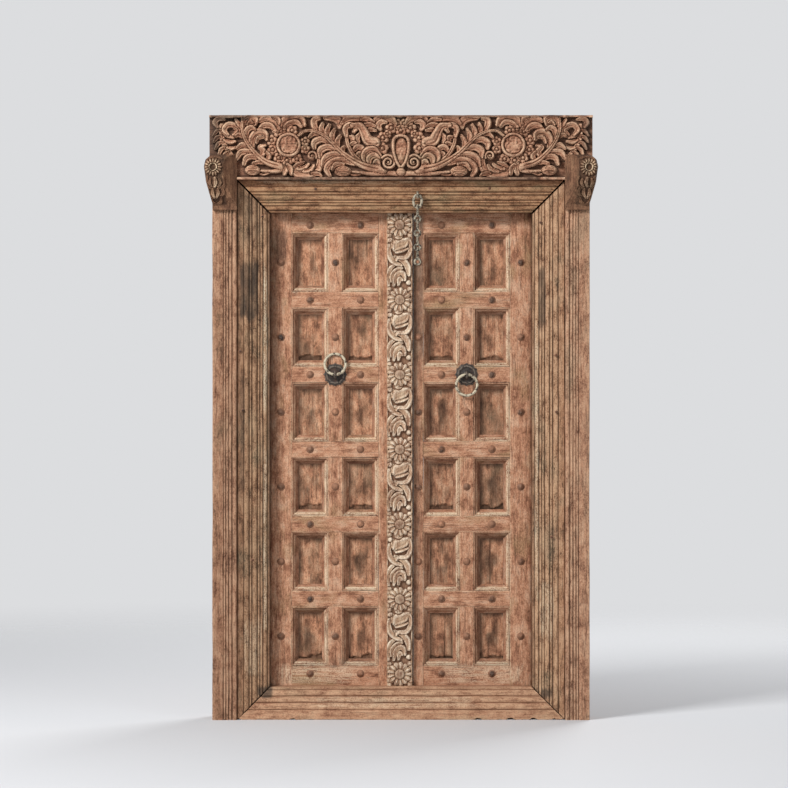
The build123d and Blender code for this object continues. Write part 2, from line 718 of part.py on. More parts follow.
for side in (-1, 1):
    hand = leaf_names[side]
    meeting_edge = meeting_edges[side]
    places = opening_places(side)
    levels = [z for x, z in places[:row_count]]
    edge_levels = [levels[0] + row_pitch / 2] + [z - row_pitch / 2 for z in levels]

    with BuildPart() as lattice:
        with BuildSketch(Plane.XY.offset(leaf_bottom)):
            with Locations((side * pivot_offset, across(leaf_thickness / 2))):
                Circle(leaf_thickness / 2)
            with Locations(((side * pivot_offset + meeting_edge) / 2, across(leaf_thickness / 2))):
                Rectangle(abs(side * pivot_offset - meeting_edge), leaf_thickness)
        extrude(amount=leaf_height)
        for place in places:
            sight = drawn_in(opening_corners(place), sticking_width)
            bevel = ((-sticking_fall, sight), (0, opening_corners(place)))
            add(planed(face_plane(leaf_thickness), bevel), mode=Mode.SUBTRACT)
        with BuildSketch(face_plane(board_front)):
            with Locations(*places):
                Rectangle(sight_width, sight_height)
        extrude(amount=leaf_thickness - board_front - sticking_fall, mode=Mode.SUBTRACT)
        with BuildSketch(face_plane(board_back - board_play)):
            with Locations(*board_places(side)):
                Rectangle(sight_width + 2 * board_tongue, board_sight + 2 * board_tongue)
        extrude(amount=board_thickness + board_play, mode=Mode.SUBTRACT)
        with BuildSketch(face_plane(0)):
            with Locations(*board_places(side)):
                Rectangle(sight_width, board_sight)
        extrude(amount=board_back, mode=Mode.SUBTRACT)

    rail_boxes = []
    for index, level in enumerate(edge_levels):
        low = leaf_bottom if index == row_count else level - rail_face / 2
        high = leaf_top if index == 0 else level + rail_face / 2
        near_end = side * (meeting_clear - rail_tongue)
        rail_boxes.append((near_end, side * (hanging_clear + rail_tongue), low, high))

    stiles = {
        "hanging_stile": (side * hanging_clear, side * leaf_edge, side * sight_outer, 1, row_count),
        "meeting_stile": (side * meeting_clear, meeting_edge, side * sight_inner, -1, 0),
    }
    for name, (face_edge, far_edge, sight_edge, way, first) in stiles.items():
        runs = [sticking_run(place, side * way, 0) for place in places[first:first + row_count]]
        with BuildPart() as stile:
            add(slab(0, board_front, [(sight_edge, far_edge, leaf_bottom, leaf_top)]))
            add(slab(board_front, leaf_thickness, [(face_edge, far_edge, leaf_bottom, leaf_top)], runs,
                     rail_boxes))
            add(lattice.part, mode=Mode.INTERSECT)
            if name == "hanging_stile":
                for level, length in ((leaf_top, top_pivot_length), (leaf_bottom, -foot_pivot_length)):
                    with BuildSketch(Plane.XY.offset(level)):
                        with Locations((side * pivot_offset, across(leaf_thickness / 2))):
                            Circle(pivot_radius)
                    extrude(amount=length)
        save(stile.part, f"{hand}_{name}")

    for index, (x_near, x_far, low, high) in enumerate(rail_boxes):
        runs = []
        for column in range(2):
            if index > 0:
                runs.append(sticking_run(places[column * row_count + index - 1], 0, -1))
            if index < row_count:
                runs.append(sticking_run(places[column * row_count + index], 0, 1))
        back_low = low - sticking_width if index < row_count else low
        back_high = high + sticking_width if index > 0 else high
        with BuildPart() as rail:
            add(slab(board_front, leaf_thickness, [(x_near, x_far, low, high)], runs))
            if index % 2 == 0:
                add(slab(0, board_front, [(side * sight_inner, side * sight_outer, back_low, back_high)]))
            add(lattice.part, mode=Mode.INTERSECT)
            if index == 2:
                add(square_bar(side * pull_offset, pull_level, leaf_thickness, shank_half + shank_play,
                               shank_length), mode=Mode.SUBTRACT)
        save(rail.part, f"{hand}_rail_{index // 2 + 1}" if index % 2 == 0 else f"{hand}_bar_{index // 2 + 1}")

    muntin_near = side * (meeting_clear + opening_width)
    muntin_far = muntin_near + side * muntin_face
    for index in range(row_count // 2):
        rows = (2 * index, 2 * index + 1)
        runs = []
        for row in rows:
            runs.append(sticking_run(places[row], side, 0))
            runs.append(sticking_run(places[row_count + row], -side, 0))
        low = levels[rows[1]] - opening_height / 2
        high = levels[rows[0]] + opening_height / 2
        with BuildPart() as muntin:
            lap = side * sticking_width
            back = (muntin_near - lap, muntin_far + lap, low + sticking_width, high - sticking_width)
            add(slab(0, board_front, [back]))
            add(slab(board_front, leaf_thickness, [(muntin_near, muntin_far, low, high)], runs,
                     [rail_boxes[rows[1]]]))
            add(lattice.part, mode=Mode.INTERSECT)
        save(muntin.part, f"{hand}_muntin_{index + 1}")

    for column, name in ((0, "inner"), (1, "outer")):
        for index in range(row_count // 2):
            x, z = board_places(side)[column * row_count // 2 + index]
            with BuildPart() as board:
                with BuildSketch(face_plane(board_back)):
                    with Locations((x, z)):
                        Rectangle(sight_width + 2 * (board_tongue - board_play),
                                  board_sight + 2 * (board_tongue - board_play))
                extrude(amount=board_thickness)
            save(board.part, f"{hand}_{name}_board_{index + 1}")

    stud_places = [(side * stud_stile_offset, z) for z in levels]
    stud_places += [(side * pull_offset, z) for z in levels]
    if side > 0:
        stud_places += [((meeting_edge + meeting_clear) / 2, z) for z in levels]
    for x in (places[0][0], places[-1][0]):
        stud_places += [(x, z) for z in edge_levels]
    with BuildPart() as studs:
        add([frustum(face_plane(leaf_thickness), place, stud_radius, stud_rise, stud_sides, stud_crown_share)
             for place in stud_places])
    save(studs.part, f"{hand}_studs")

    # Ring pull: scalloped plate, eye and ring
    with BuildPart() as plate:
        add(flower(face_plane(leaf_thickness), (side * pull_offset, pull_level), plate_radius,
                   plate_thickness, plate_lobes, plate_waist_share, plate_top_share))
        add(square_bar(side * pull_offset, pull_level, leaf_thickness + plate_thickness,
                       shank_half + shank_play, plate_thickness), mode=Mode.SUBTRACT)
    save(plate.part, f"{hand}_ring_plate")
    with BuildPart() as eye:
        add(iron_eye(Plane.YZ.offset(side * pull_offset), (across(eye_stand), pull_level), eye_radius,
                     eye_wire, eye_sides))
        add(square_bar(side * pull_offset, pull_level, eye_stand - eye_radius, shank_half,
                       eye_stand - eye_radius - leaf_thickness + shank_length - shank_play))
    save(eye.part, f"{hand}_ring_eye")
    swing = pull_lean if side < 0 else 0
    with BuildPart() as ring:
        hang = Plane.XZ.offset(eye_stand - total_depth / 2)
        low_point = (side * pull_offset, pull_level - ring_radius)
        add(iron_eye(hang, low_point, ring_radius, ring_wire, ring_sides))
    turned = ring.part.rotate(Axis((0, across(eye_stand), pull_level), (1, 0, 0)), -swing)
    save(turned, f"{hand}_ring")

# Cover strip nailed to the left leaf: flowers on the rails, a scroll between them
strip_middle = meeting_offset - strip_width / 2
strip_face = face_plane(leaf_thickness + strip_board)
strip_places = [doorway_middle + (row_count / 2 - index) * row_pitch for index in range(row_count + 1)]
cuts = []
for z in strip_places:
    cuts.append(flower(strip_face, (strip_middle, z), strip_width * strip_flower_share,
                       strip_relief * petal_relief_share, strip_petals, petal_waist_share, petal_top_share))
    cuts.append(frustum(strip_face, (strip_middle, z), strip_width * strip_button_share, strip_relief,
                        bud_sides, bud_top_share))
for z in strip_places[1:]:
    for (x_share, z_share), heading, turn, length_share, width_share in scroll_shares:
        cuts.append(
            comma(
                strip_face, (strip_middle + x_share * strip_width, z + z_share * row_pitch), heading, turn,
                length_share * strip_width, width_share * strip_width, strip_relief * lobe_relief_share,
                curl_swell_shares,
            )
        )
with BuildPart() as cover_strip:
    with BuildSketch(face_plane(leaf_thickness)):
        with Locations((strip_middle, doorway_middle)):
            Rectangle(strip_width, doorway_height - 2 * strip_end_gap)
    extrude(amount=strip_board)
    add(cuts)
save(cover_strip.part, "cover_strip")

# Chain on the head, hanging beside the strip: staple, long ring, four twisted links
with BuildPart() as chain_staple:
    add(iron_eye(Plane.YZ.offset(chain_offset), (across(chain_depth), chain_level), chain_eye_radius,
                 eye_wire, eye_sides))
    add(square_bar(chain_offset, chain_level, chain_depth - chain_eye_radius, shank_half,
                   chain_depth - chain_eye_radius - chain_seat + shank_length - shank_play))
save(chain_staple.part, "chain_staple")

chain_ring_reach = chain_ring_length - 2 * chain_ring_wire
chain_ring_middle = chain_level - chain_ring_reach / 2
outlines = []
for level, reach in forged_section(chain_ring_wire):
    inset = 0 if reach > 0 else 2 * chain_ring_wire
    wide = chain_ring_width / 2 - inset
    tall = chain_ring_length / 2 - inset
    corners = []
    for x_share, z_share in reversed(oblong_shares):
        corners.append((chain_offset + wide * x_share, chain_ring_middle + tall * z_share))
    lean = chain_ring_wire - abs(reach)
    outlines.append((level, drawn_in(corners, lean if reach > 0 else -lean)))
with BuildPart() as chain_ring:
    add(planed(face_plane(chain_depth), outlines, closed=True))
save(chain_ring.part, "chain_ring")

hook_level = chain_level - chain_ring_reach
for index in range(link_count):
    held_wire = chain_ring_wire if index == 0 else link_wire
    top_eye = hook_level - (link_eye_radius - link_wire - held_wire - link_slack)
    low_eye = hook_level - link_pitch + link_eye_radius
    with BuildPart() as link:
        add(iron_eye(Plane.YZ.offset(chain_offset), (across(chain_depth), top_eye), link_eye_radius,
                     link_wire, link_sides))
        add(iron_eye(face_plane(chain_depth), (chain_offset, low_eye), link_eye_radius, link_wire,
                     link_sides))
        with BuildSketch(Plane.XY.offset(low_eye + link_eye_radius)):
            with Locations((chain_offset, across(chain_depth))):
                RegularPolygon(link_wire, link_sides)
        extrude(amount=top_eye - low_eye - 2 * link_eye_radius)
    save(link.part, f"chain_link_{index + 1}")
    hook_level -= link_pitch
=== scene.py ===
from math import cos, pi, radians, sin

import bmesh
import bpy
import numpy as np
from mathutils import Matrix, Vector


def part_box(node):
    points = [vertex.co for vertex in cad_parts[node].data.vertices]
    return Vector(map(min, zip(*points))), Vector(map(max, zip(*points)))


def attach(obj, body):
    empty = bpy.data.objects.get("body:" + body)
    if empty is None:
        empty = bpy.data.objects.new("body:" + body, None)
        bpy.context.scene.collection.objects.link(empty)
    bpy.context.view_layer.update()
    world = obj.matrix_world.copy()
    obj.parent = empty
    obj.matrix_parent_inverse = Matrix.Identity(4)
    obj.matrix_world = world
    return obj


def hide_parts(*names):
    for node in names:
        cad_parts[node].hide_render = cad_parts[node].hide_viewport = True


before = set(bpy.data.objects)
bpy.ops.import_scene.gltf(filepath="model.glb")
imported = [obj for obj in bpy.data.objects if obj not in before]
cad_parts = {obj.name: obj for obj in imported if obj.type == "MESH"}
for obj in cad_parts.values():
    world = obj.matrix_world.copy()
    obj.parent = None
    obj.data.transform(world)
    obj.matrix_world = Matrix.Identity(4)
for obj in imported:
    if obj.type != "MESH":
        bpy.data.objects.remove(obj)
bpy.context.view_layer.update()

# Frame: sill, head and two jambs of old hardwood, each planed to a run of beads and mitred at the corners.
# Sun and rain have rounded the beads and opened the mitres, and the grooves hold dust and old limewash.
# Lengths are millimetres, and depth is counted forward from the back of the frame.
HANDS = ((-1, "left"), (1, "right"))
DOORWAY_HALF, SILL_TOP, HEAD_UNDER, LINTEL_UNDER = 462.0, 112.0, 1779.0, 1891.0
FRAME_FACE, LIP_DEPTH, FRAME_DEPTH, REBATE_WIDTH, REBATE_DEPTH = 112.0, 95.0, 130.0, 14.0, 46.5
# beads from the doorway outwards, as shares of the face: width, rise
FRAME_BEADS = ((0.06, 0.0), (0.14, 0.026), (0.09, 0.018), (0.08, 0.016), (0.17, 0.02), (0.08, 0.016),
               (0.18, 0.032))
SILL_BEADS = ((0.08, 0.0), (0.2, 0.022), (0.2, 0.026), (0.22, 0.024))
FRONT = 105.5
STEP, FINE_STEP = 13, 7
# places that smoke, damp and hands have darkened, and painted shadows, then flakes of old limewash:
# x, z, half width, half height, amount
SOOT_AND_SHADOW_MARKS = [(-532, 1503, 35, 108, 1.0), (495, 1484, 13, 122, 0.8), (-424, 1660, 26, 70, 0.6),
              # (-455, 1300) is painted shadow: the jamb's lip shading the left hanging stile
              (-455, 1300, 17, 460, 0.4), (-478, 96, 28, 22, 1.0), (512, 92, 20, 18, 1.0),
              # (60, 1500) and (55, 820) are painted shadow: the cover strip's shadow on the right leaf
              (60, 1500, 20, 300, 0.75), (55, 820, 13, 620, 0.45), (50, 1603, 10, 18, 1.0),
              (-520, 1760, 30, 90, 0.4), (-300, 1745, 90, 14, 0.3), (260, 1748, 180, 16, 0.35),
              (-556, 1000, 9, 240, 0.5), (530, 620, 20, 70, 0.35), (-240, 190, 180, 18, 0.25),
              (230, 186, 200, 16, 0.25), (-654, 2045, 22, 75, 0.75), (655, 2050, 20, 60, 0.55),
              # (0, 1894) is a painted shadow line under the lintel's edge
              (-600, 2106, 75, 12, 0.9), (0, 2113, 680, 8, 0.6), (0, 1894, 580, 7, 0.75)]
# flakes of old limewash; painted highlights on the lit bevels are added to this list further on
LIME_AND_HIGHLIGHT_MARKS = [(-477, 1330, 9, 290, 0.75), (-374, 1500, 9, 6, 1.0), (-521, 245, 32, 110, 0.3),
              (512, 385, 26, 110, 0.35), (-478, 620, 8, 330, 0.5), (476, 900, 8, 500, 0.4),
              (-20, 60, 300, 20, 0.3), (-200, 1885, 300, 8, 0.3), (-300, 150, 150, 34, 0.45),
              (290, 150, 150, 34, 0.4)]
MARKED_DEPTH = 20.0
CELLS = 24


def weather(places, size, seed):
    """Smooth random swell from 0 to 1 at each place, one lattice cell every size millimetres."""
    cells = np.random.default_rng(seed).random((CELLS, CELLS, CELLS))
    at = np.asarray(places, float) / np.asarray(size, float)
    low = np.floor(at).astype(int)
    part = at - low
    part = part * part * (3 - 2 * part)
    total = 0.0
    for corner in np.ndindex(2, 2, 2):
        weight = 1.0
        for axis in range(3):
            weight = weight * (part[..., axis] if corner[axis] else 1 - part[..., axis])
        cell = tuple((low[..., axis] + corner[axis]) % CELLS for axis in range(3))
        total = total + weight * cells[cell]
    return total


def ease(value, low, high):
    """0 below low, 1 above high, and a smooth rise between."""
    t = np.clip((value - low) / (high - low), 0, 1)
    return t * t * (3 - 2 * t)


def bead_line(face, inner, outer, beads, dip, edge_drop):
    """Front of a moulded member as (across, depth, crest, groove) rows: round beads parted by cut grooves."""
    rows = []
    walked = 0.0
    for width, rise in beads:
        for t in np.linspace(0, 1, 9)[:-1]:
            share = walked + width * t
            base = inner + (outer - inner) * share
            arch = (1 - abs(2 * t - 1) ** 2.4) ** 0.5 if rise else 0.7
            lift = (rise * face + dip) * arch - dip if rise else 0.0
            rows.append((share * face, base + lift, arch, 1 - arch))
        walked += width
    buried = edge_drop > 3
    drops = {0.0: dip, 0.05: 0.4, 0.96: edge_drop / 4, 1.0: edge_drop}
    for t in (0.0, 0.05, 0.12, 0.4, 0.7, 0.9, 0.96, 1.0):
        share = walked + (1 - walked) * t
        crest = 0.45 if t < 0.9 else (0.0 if buried else 0.9)
        groove = 1.0 if t == 0.0 else buried * (t > 0.9)
        rows.append((share * face, inner + (outer - inner) * share - drops.get(t, 0.0), crest, groove))
    return rows


# wear along a member, in mm across, deep and along: bitten arrises, slow swell, tool marks, waver, held dust
BITTEN, SWELL, TOOLED, WAVER, HELD = (16, 16, 55), (34, 34, 210), (7, 7, 26), (30, 30, 120), (40, 40, 260)
BITTEN_DEEP, SWELL_DEEP, TOOLED_DEEP, WAVER_WIDE = 1.9, 1.5, 0.7, 1.9


def swept(section, ends, step, place, chips, seed):
    """Closed run of a section between two ends: points, faces, crest and groove values."""
    section = np.array(section, float)
    low, high = (np.array([end(u, d) for u, d in section[:, :2]]) for end in ends)
    count = max(2, int(np.ceil((high - low).max() / step)) + 1)
    along = low + (high - low) * np.linspace(0, 1, count)[:, None]
    across, depth, crest, groove = (np.broadcast_to(column, along.shape).copy() for column in section.T)
    here = np.stack([across, depth * 0.6, along], -1)
    bitten = ease(weather(here, BITTEN, seed), 0.6, 0.95) * crest
    swell = weather(here, SWELL, seed + 1) - 0.5
    fine = weather(here, TOOLED, seed + 2) - 0.5
    facing = (section[:, 1] > section[:, 1].max() * 0.45)[None, :]
    worn = BITTEN_DEEP * bitten + SWELL_DEEP * swell * (0.4 + crest) + TOOLED_DEEP * fine * (0.3 + crest)
    depth -= facing * chips * worn
    across += facing * chips * (weather(here, WAVER, seed + 3) - 0.5) * WAVER_WIDE
    points = np.stack(place(across, depth, along), -1).reshape(-1, 3)
    index = np.arange(along.size).reshape(along.shape)
    after = np.roll(index, -1, 1)
    quads = np.stack([index[:-1], after[:-1], after[1:], index[1:]], -1).reshape(-1, 4)
    crest = np.clip(crest + 0.8 * bitten, 0, 1)
    groove = groove * (0.4 + 0.6 * ease(weather(here, HELD, seed + 4), 0.25, 0.6))
    return points, quads.tolist() + [index[0].tolist(), index[-1].tolist()], crest.ravel(), groove.ravel()


def joined(runs):
    """Points, faces and point values of several runs, as those of one."""
    faces = []
    start = 0
    for run in runs:
        faces += [[start + index for index in face] for face in run[1]]
        start += len(run[0])
    values = [np.concatenate([run[k] for run in runs]) for k in range(2, len(runs[0]))]
    return np.concatenate([run[0] for run in runs]), faces, values


def solid(name, points, faces, layers, sharp, material, body, nodes):
    """One smooth closed piece from points in millimetres, standing for the CAD nodes it follows."""
    points = np.stack([points[:, 0], FRONT - points[:, 1], points[:, 2]], -1) / 1000
    mesh = bpy.data.meshes.new(name)
    mesh.from_pydata(points.tolist(), [], faces)
    for label, values in layers.items():
        mesh.attributes.new(label, "FLOAT", "POINT").data.foreach_set("value", values.astype(np.float32))
    shell = bmesh.new()
    shell.from_mesh(mesh)
    bmesh.ops.recalc_face_normals(shell, faces=shell.faces)
    shell.to_mesh(mesh)
    shell.free()
    mesh.shade_smooth()
    mesh.set_sharp_from_angle(angle=radians(sharp))
    mesh.materials.append(material)
    piece = bpy.data.objects.new(name, mesh)
    bpy.context.scene.collection.objects.link(piece)
    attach(piece, body)
    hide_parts(*nodes)


# marks are broken up, and their edges ragged, in cells of these millimetres
BROKEN, RAGGED = (9, 9, 30), (13, 13, 36)


def timber(name, runs, material, body, nodes, sharp=38):
    """One wooden piece from its runs, with the smoke and limewash that lie on its front, and the painted
    shadows and highlights laid in with them.
    """
    points, faces, (crest, groove) = joined(runs)
    layers = {"crest": crest, "groove": groove}
    broken = np.clip(0.6 + 0.7 * weather(points, BROKEN, 77), 0, 1) * (points[:, 1] > MARKED_DEPTH)
    ragged = 0.3 * (weather(points, RAGGED, 78) - 0.5)
    for label, marks in (("soot_and_shadow", SOOT_AND_SHADOW_MARKS), ("lime_and_highlight", LIME_AND_HIGHLIGHT_MARKS)):
        layers[label] = np.zeros(len(points))
        for x, z, half_x, half_z, amount in marks:
            off = (((points[:, 0] - x) / half_x) ** 8 + ((points[:, 2] - z) / half_z) ** 8) ** 0.125
            mark = amount * ease(1 - off + ragged, 0.0, 0.2) * broken
            layers[label] = np.maximum(layers[label], mark)
    solid(name, points, faces, layers, sharp, material, body, nodes)


def linear(hex_colour):
    """sRGB hex to the linear colour a socket takes."""
    parts = [int(hex_colour[i:i + 2], 16) / 255 for i in (1, 3, 5)]
    return [p / 12.92 if p <= 0.04045 else ((p + 0.055) / 1.055) ** 2.4 for p in parts] + [1.0]


def node(tree, kind, links=(), values=(), ramp=(), **settings):
    """Adds a node with its settings, input values and links."""
    made = tree.nodes.new(kind)
    for key, value in settings.items():
        setattr(made, key, value)
    for key, value in dict(values).items():
        made.inputs[key].default_value = value
    for key, socket in dict(links).items():
        tree.links.new(socket, made.inputs[key])
    for index, (place, colour) in enumerate(ramp):
        stops = made.color_ramp.elements
        stop = stops[index] if index < 2 else stops.new(place)
        stop.position = place
        stop.color = linear(colour)
    return made


def plain_finish(name):
    """New material with its node tree, its shader and the Object coordinates that its patterns lie in."""
    material = bpy.data.materials.new(name)
    material.use_nodes = True
    tree = material.node_tree
    return material, tree, tree.nodes["Principled BSDF"], node(tree, "ShaderNodeTexCoord").outputs["Object"]


# millimetres across and along the grain, detail, roughness: fibre bundles, shrinkage checks, mottling,
# hand-wide blotches, grit. Fibres and grit are drawn coarser than they are, so that they show.
WOOD_NOISES = {"fibre": (4.5, 90, 4, 0.6), "check": (17, 260, 2, 0.5), "mottle": (26, 48, 5, 0.68),
               "blotch": (85, 190, 4, 0.6), "grit": (3.4, 5.5, 2, 0.7)}
LIMEWASH_AND_HIGHLIGHT, SOOT_AND_SHADOW = "#DACBAE", "#3A332C"


def aged_wood(name, along, dark, main, pale, blotch, blotch_share, dust, edge, seed,
              edge_share=0.6, grain=0.42):
    """Unpainted hardwood after long weather: matt, with proud fibres, dusty hollows and bleached arrises; the
    hollow and crest layers also carry painted shade and highlight, and the soot and lime marks painted shadow
    and highlight.
    """
    material, tree, surface, coords = plain_finish(name)
    noises = []
    for thin, long, detail, rough in WOOD_NOISES.values():
        stretch = [1000 / thin] * 3
        stretch[along] = 1000 / long
        run = node(tree, "ShaderNodeMapping", {"Vector": coords},
                   {"Scale": stretch, "Location": [seed * 3.7 + thin] * 3}).outputs[0]
        noises.append(node(tree, "ShaderNodeTexNoise", {"Vector": run},
                           {"Scale": 1.0, "Detail": detail, "Roughness": rough}).outputs["Fac"])
    fibre, check, mottle, blotches, grit = noises
    mixed = node(tree, "ShaderNodeMix", {2: mottle, 3: fibre}, {"Factor": grain},
                 data_type="FLOAT").outputs[0]
    tone = node(tree, "ShaderNodeValToRGB", {"Fac": mixed},
                ramp=((0.39, dark), (0.61, pale), (0.5, main))).outputs[0]
    share = node(tree, "ShaderNodeMapRange", {"Value": blotches},
                 {"From Min": 0.66 - 0.3 * blotch_share, "From Max": 0.84 - 0.3 * blotch_share,
                  "To Max": 0.75}).outputs[0]
    tone = node(tree, "ShaderNodeMix", {"Factor": share, 6: tone}, {7: linear(blotch)},
                data_type="RGBA").outputs[2]
    speck = node(tree, "ShaderNodeValToRGB", {"Fac": grit},
                 ramp=((0.34, "#8E8A86"), (0.6, "#FFFFFF"))).outputs[0]
    tone = node(tree, "ShaderNodeMix", {6: tone, 7: speck}, {"Factor": 0.55},
                data_type="RGBA", blend_type="MULTIPLY").outputs[2]
    marks = {label: node(tree, "ShaderNodeAttribute", attribute_name=label).outputs["Fac"]
             for label in ("crest", "groove", "soot_and_shadow", "lime_and_highlight")}
    cover = {}
    # arrises are bare, and limewash and its painted highlight cling, only where two noises together run high
    for label, other, low, high, most in (("crest", mottle, 0.78, 1.12, edge_share),
                                          ("lime_and_highlight", fibre, 0.92, 1.08, 1.0)):
        patch = node(tree, "ShaderNodeMath", {0: grit, 1: other}, operation="ADD").outputs[0]
        patch = node(tree, "ShaderNodeMapRange", {"Value": patch},
                     {"From Min": low, "From Max": high, "To Max": most}).outputs[0]
        cover[label] = node(tree, "ShaderNodeMath", {0: patch, 1: marks[label]},
                            operation="MULTIPLY").outputs[0]
    # hollows take the dust colour and soot marks the soot colour, both also as painted shade and shadow
    for label, most in (("groove", 0.78), ("soot_and_shadow", 0.8)):
        cover[label] = node(tree, "ShaderNodeMath", {0: marks[label]}, {1: most},
                            operation="MULTIPLY").outputs[0]
    check = node(tree, "ShaderNodeMath", {0: check}, {1: 0.5}, operation="SUBTRACT").outputs[0]
    check = node(tree, "ShaderNodeMath", {0: check}, operation="ABSOLUTE").outputs[0]
    check = node(tree, "ShaderNodeMapRange", {"Value": check},
                 {"From Min": 0.002, "From Max": 0.016, "To Min": 0.42, "To Max": 0.0}).outputs[0]
    for factor, colour in ((cover["crest"], edge), (check, dust), (cover["lime_and_highlight"], LIMEWASH_AND_HIGHLIGHT),
                           (cover["groove"], dust), (cover["soot_and_shadow"], SOOT_AND_SHADOW)):
        tone = node(tree, "ShaderNodeMix", {"Factor": factor, 6: tone}, {7: linear(colour)},
                    data_type="RGBA").outputs[2]
    rough = node(tree, "ShaderNodeMapRange", {"Value": fibre}, {"To Min": 0.95, "To Max": 0.7}).outputs[0]
    surface.inputs["Specular IOR Level"].default_value = 0.25
    height = node(tree, "ShaderNodeMath", {0: mixed, 1: check}, operation="SUBTRACT").outputs[0]
    bump = node(tree, "ShaderNodeBump", {"Height": height}, {"Strength": 0.6, "Distance": 0.003}).outputs[0]
    bump = node(tree, "ShaderNodeBump", {"Height": grit, "Normal": bump},
                {"Strength": 0.35, "Distance": 0.0014}).outputs[0]
    for label, socket in (("Base Color", tone), ("Roughness", rough), ("Normal", bump)):
        tree.links.new(socket, surface.inputs[label])
    return material


# tones of a wood: dark, main and pale fibre, blotch, blotched share, dust (also painted shade), bleached
# arris (also painted highlight)
# weathered jambs and head look dull brown under a grey-green bloom, and the trodden sill pale and even
# painted light: the right jamb's tones are lighter than the left's, so the right side reads as more brightly
# lit
JAMB_TONES_RIGHT_PAINTED_LIGHTER = {"left": ("#593C2B", "#8D6246", "#AC8266", "#6A624E", 0.5, "#221912", "#BE9A78"),
              "right": ("#654431", "#9E6F50", "#B88E70", "#766C56", 0.45, "#261B14", "#C8A482")}
HEAD_TONES = ("#68422E", "#9C6A4A", "#B88A68", "#7C7456", 0.5, "#261A12", "#C09A74")
SILL_TONES = ("#8C5F47", "#B58465", "#C79D7D", "#A0896B", 0.45, "#7A5640", "#CDA786")
head_wood = aged_wood("weathered hardwood, grain level", 0, *HEAD_TONES, seed=2)
sill_wood = aged_wood("trodden hardwood, grain level", 0, *SILL_TONES, seed=3)
REBATE = [(FRAME_FACE, 0, 0.3, 0), (REBATE_WIDTH, 0, 0.3, 0), (REBATE_WIDTH, REBATE_DEPTH, 0, 0.6),
          (0, REBATE_DEPTH, 0, 0.6)]
frame_section = bead_line(FRAME_FACE, LIP_DEPTH, FRAME_DEPTH, FRAME_BEADS, dip=3.2, edge_drop=7.0) + REBATE
sill_section = bead_line(FRAME_FACE, LIP_DEPTH, FRAME_DEPTH, SILL_BEADS, dip=2.6, edge_drop=2.0) + REBATE
MITRE_OPEN, MITRE_FROM = 5.5, 70.0


def mitre_gap(depth):
    """The mitres have shrunk open in front only."""
    return MITRE_OPEN if depth > MITRE_FROM else 0.0


for side, hand in HANDS:
    ends = (lambda u, d: SILL_TOP - u + mitre_gap(d) / 3, lambda u, d: HEAD_UNDER + u - mitre_gap(d))
    run = swept(frame_section, ends, STEP, lambda u, d, a: (side * (DOORWAY_HALF + u), d, a),
                chips=1.0, seed=10 + side)
    jamb_wood = aged_wood(f"weathered hardwood, {hand} jamb", 2, *JAMB_TONES_RIGHT_PAINTED_LIGHTER[hand], seed=1, edge_share=0.75)
    timber(f"{hand}_jamb_worn", [run], jamb_wood, "frame", [f"{hand}_jamb"])
ends = (lambda u, d: -DOORWAY_HALF - u + mitre_gap(d) / 2, lambda u, d: DOORWAY_HALF + u - mitre_gap(d) / 2)
run = swept(frame_section, ends, STEP, lambda u, d, a: (a, d, HEAD_UNDER + u), chips=1.0, seed=20)
timber("door_head_worn", [run], head_wood, "frame", ["door_head"])
CHIP_DEEP, CHIP_FROM = 6.0, 100.0


def chipped_foot(across, depth, along):
    """Places along the sill, with its front foot chipped away here and there."""
    here = np.stack([along, 0 * along, 0 * along], -1)
    bite = CHIP_DEEP * ease(weather(here, 8, 31), 0.55, 0.95) * ease(weather(here, 70, 32), 0.4, 0.75)
    bite = bite * ease(across, CHIP_FROM, FRAME_FACE) * (depth > 60)
    return along, depth - 0.4 * bite, SILL_TOP - across + bite


run = swept(sill_section, ends, FINE_STEP, chipped_foot, chips=1.6, seed=30)
timber("sill_worn", [run], sill_wood, "frame", ["sill"])

# Pilasters: one plank each side, reeded next to the jamb and plain outside, pegged to the frame and carrying
# the lintel. Their outer faces are redder than the jambs, since the rain runs off the lintel's ends.
PILASTER_FACE, PILASTER_GROOVE, PILASTER_DEPTH = 86.0, 136.0, 140.0
PILASTER_BEADS = ((0.2, 0.036), (0.13, 0.024), (0.12, 0.022), (0.1, 0.018))
# painted light: the right pilaster's tones are lighter than the left's, so the right side reads as more
# brightly lit
PILASTER_TONES_RIGHT_PAINTED_LIGHTER = {"left": ("#674230", "#986A4F", "#B78D70", "#7E684F", 0.45, "#281B14", "#C09A7C"),
                  "right": ("#77503C", "#B07D60", "#C99E80", "#917860", 0.4, "#33231A", "#CFAA8A")}
FRAME_EDGE = DOORWAY_HALF + FRAME_FACE
LINTEL_JOINT = 0.5
pilaster_section = bead_line(PILASTER_FACE, PILASTER_GROOVE, PILASTER_DEPTH, PILASTER_BEADS,
                             dip=3.0, edge_drop=1.6)
pilaster_section += [(PILASTER_FACE, 0, 0.3, 0), (0, 0, 0.3, 0)]
for side, hand in HANDS:
    ends = (lambda u, d: 0.0, lambda u, d: LINTEL_UNDER - LINTEL_JOINT)
    run = swept(pilaster_section, ends, STEP, lambda u, d, a: (side * (FRAME_EDGE + u), d, a),
                chips=1.0, seed=40 + side)
    pilaster_wood = aged_wood(f"rain-washed hardwood, {hand} pilaster", 2, *PILASTER_TONES_RIGHT_PAINTED_LIGHTER[hand], seed=4)
    timber(f"{hand}_pilaster_worn", [run], pilaster_wood, "frame", [f"{hand}_pilaster"])

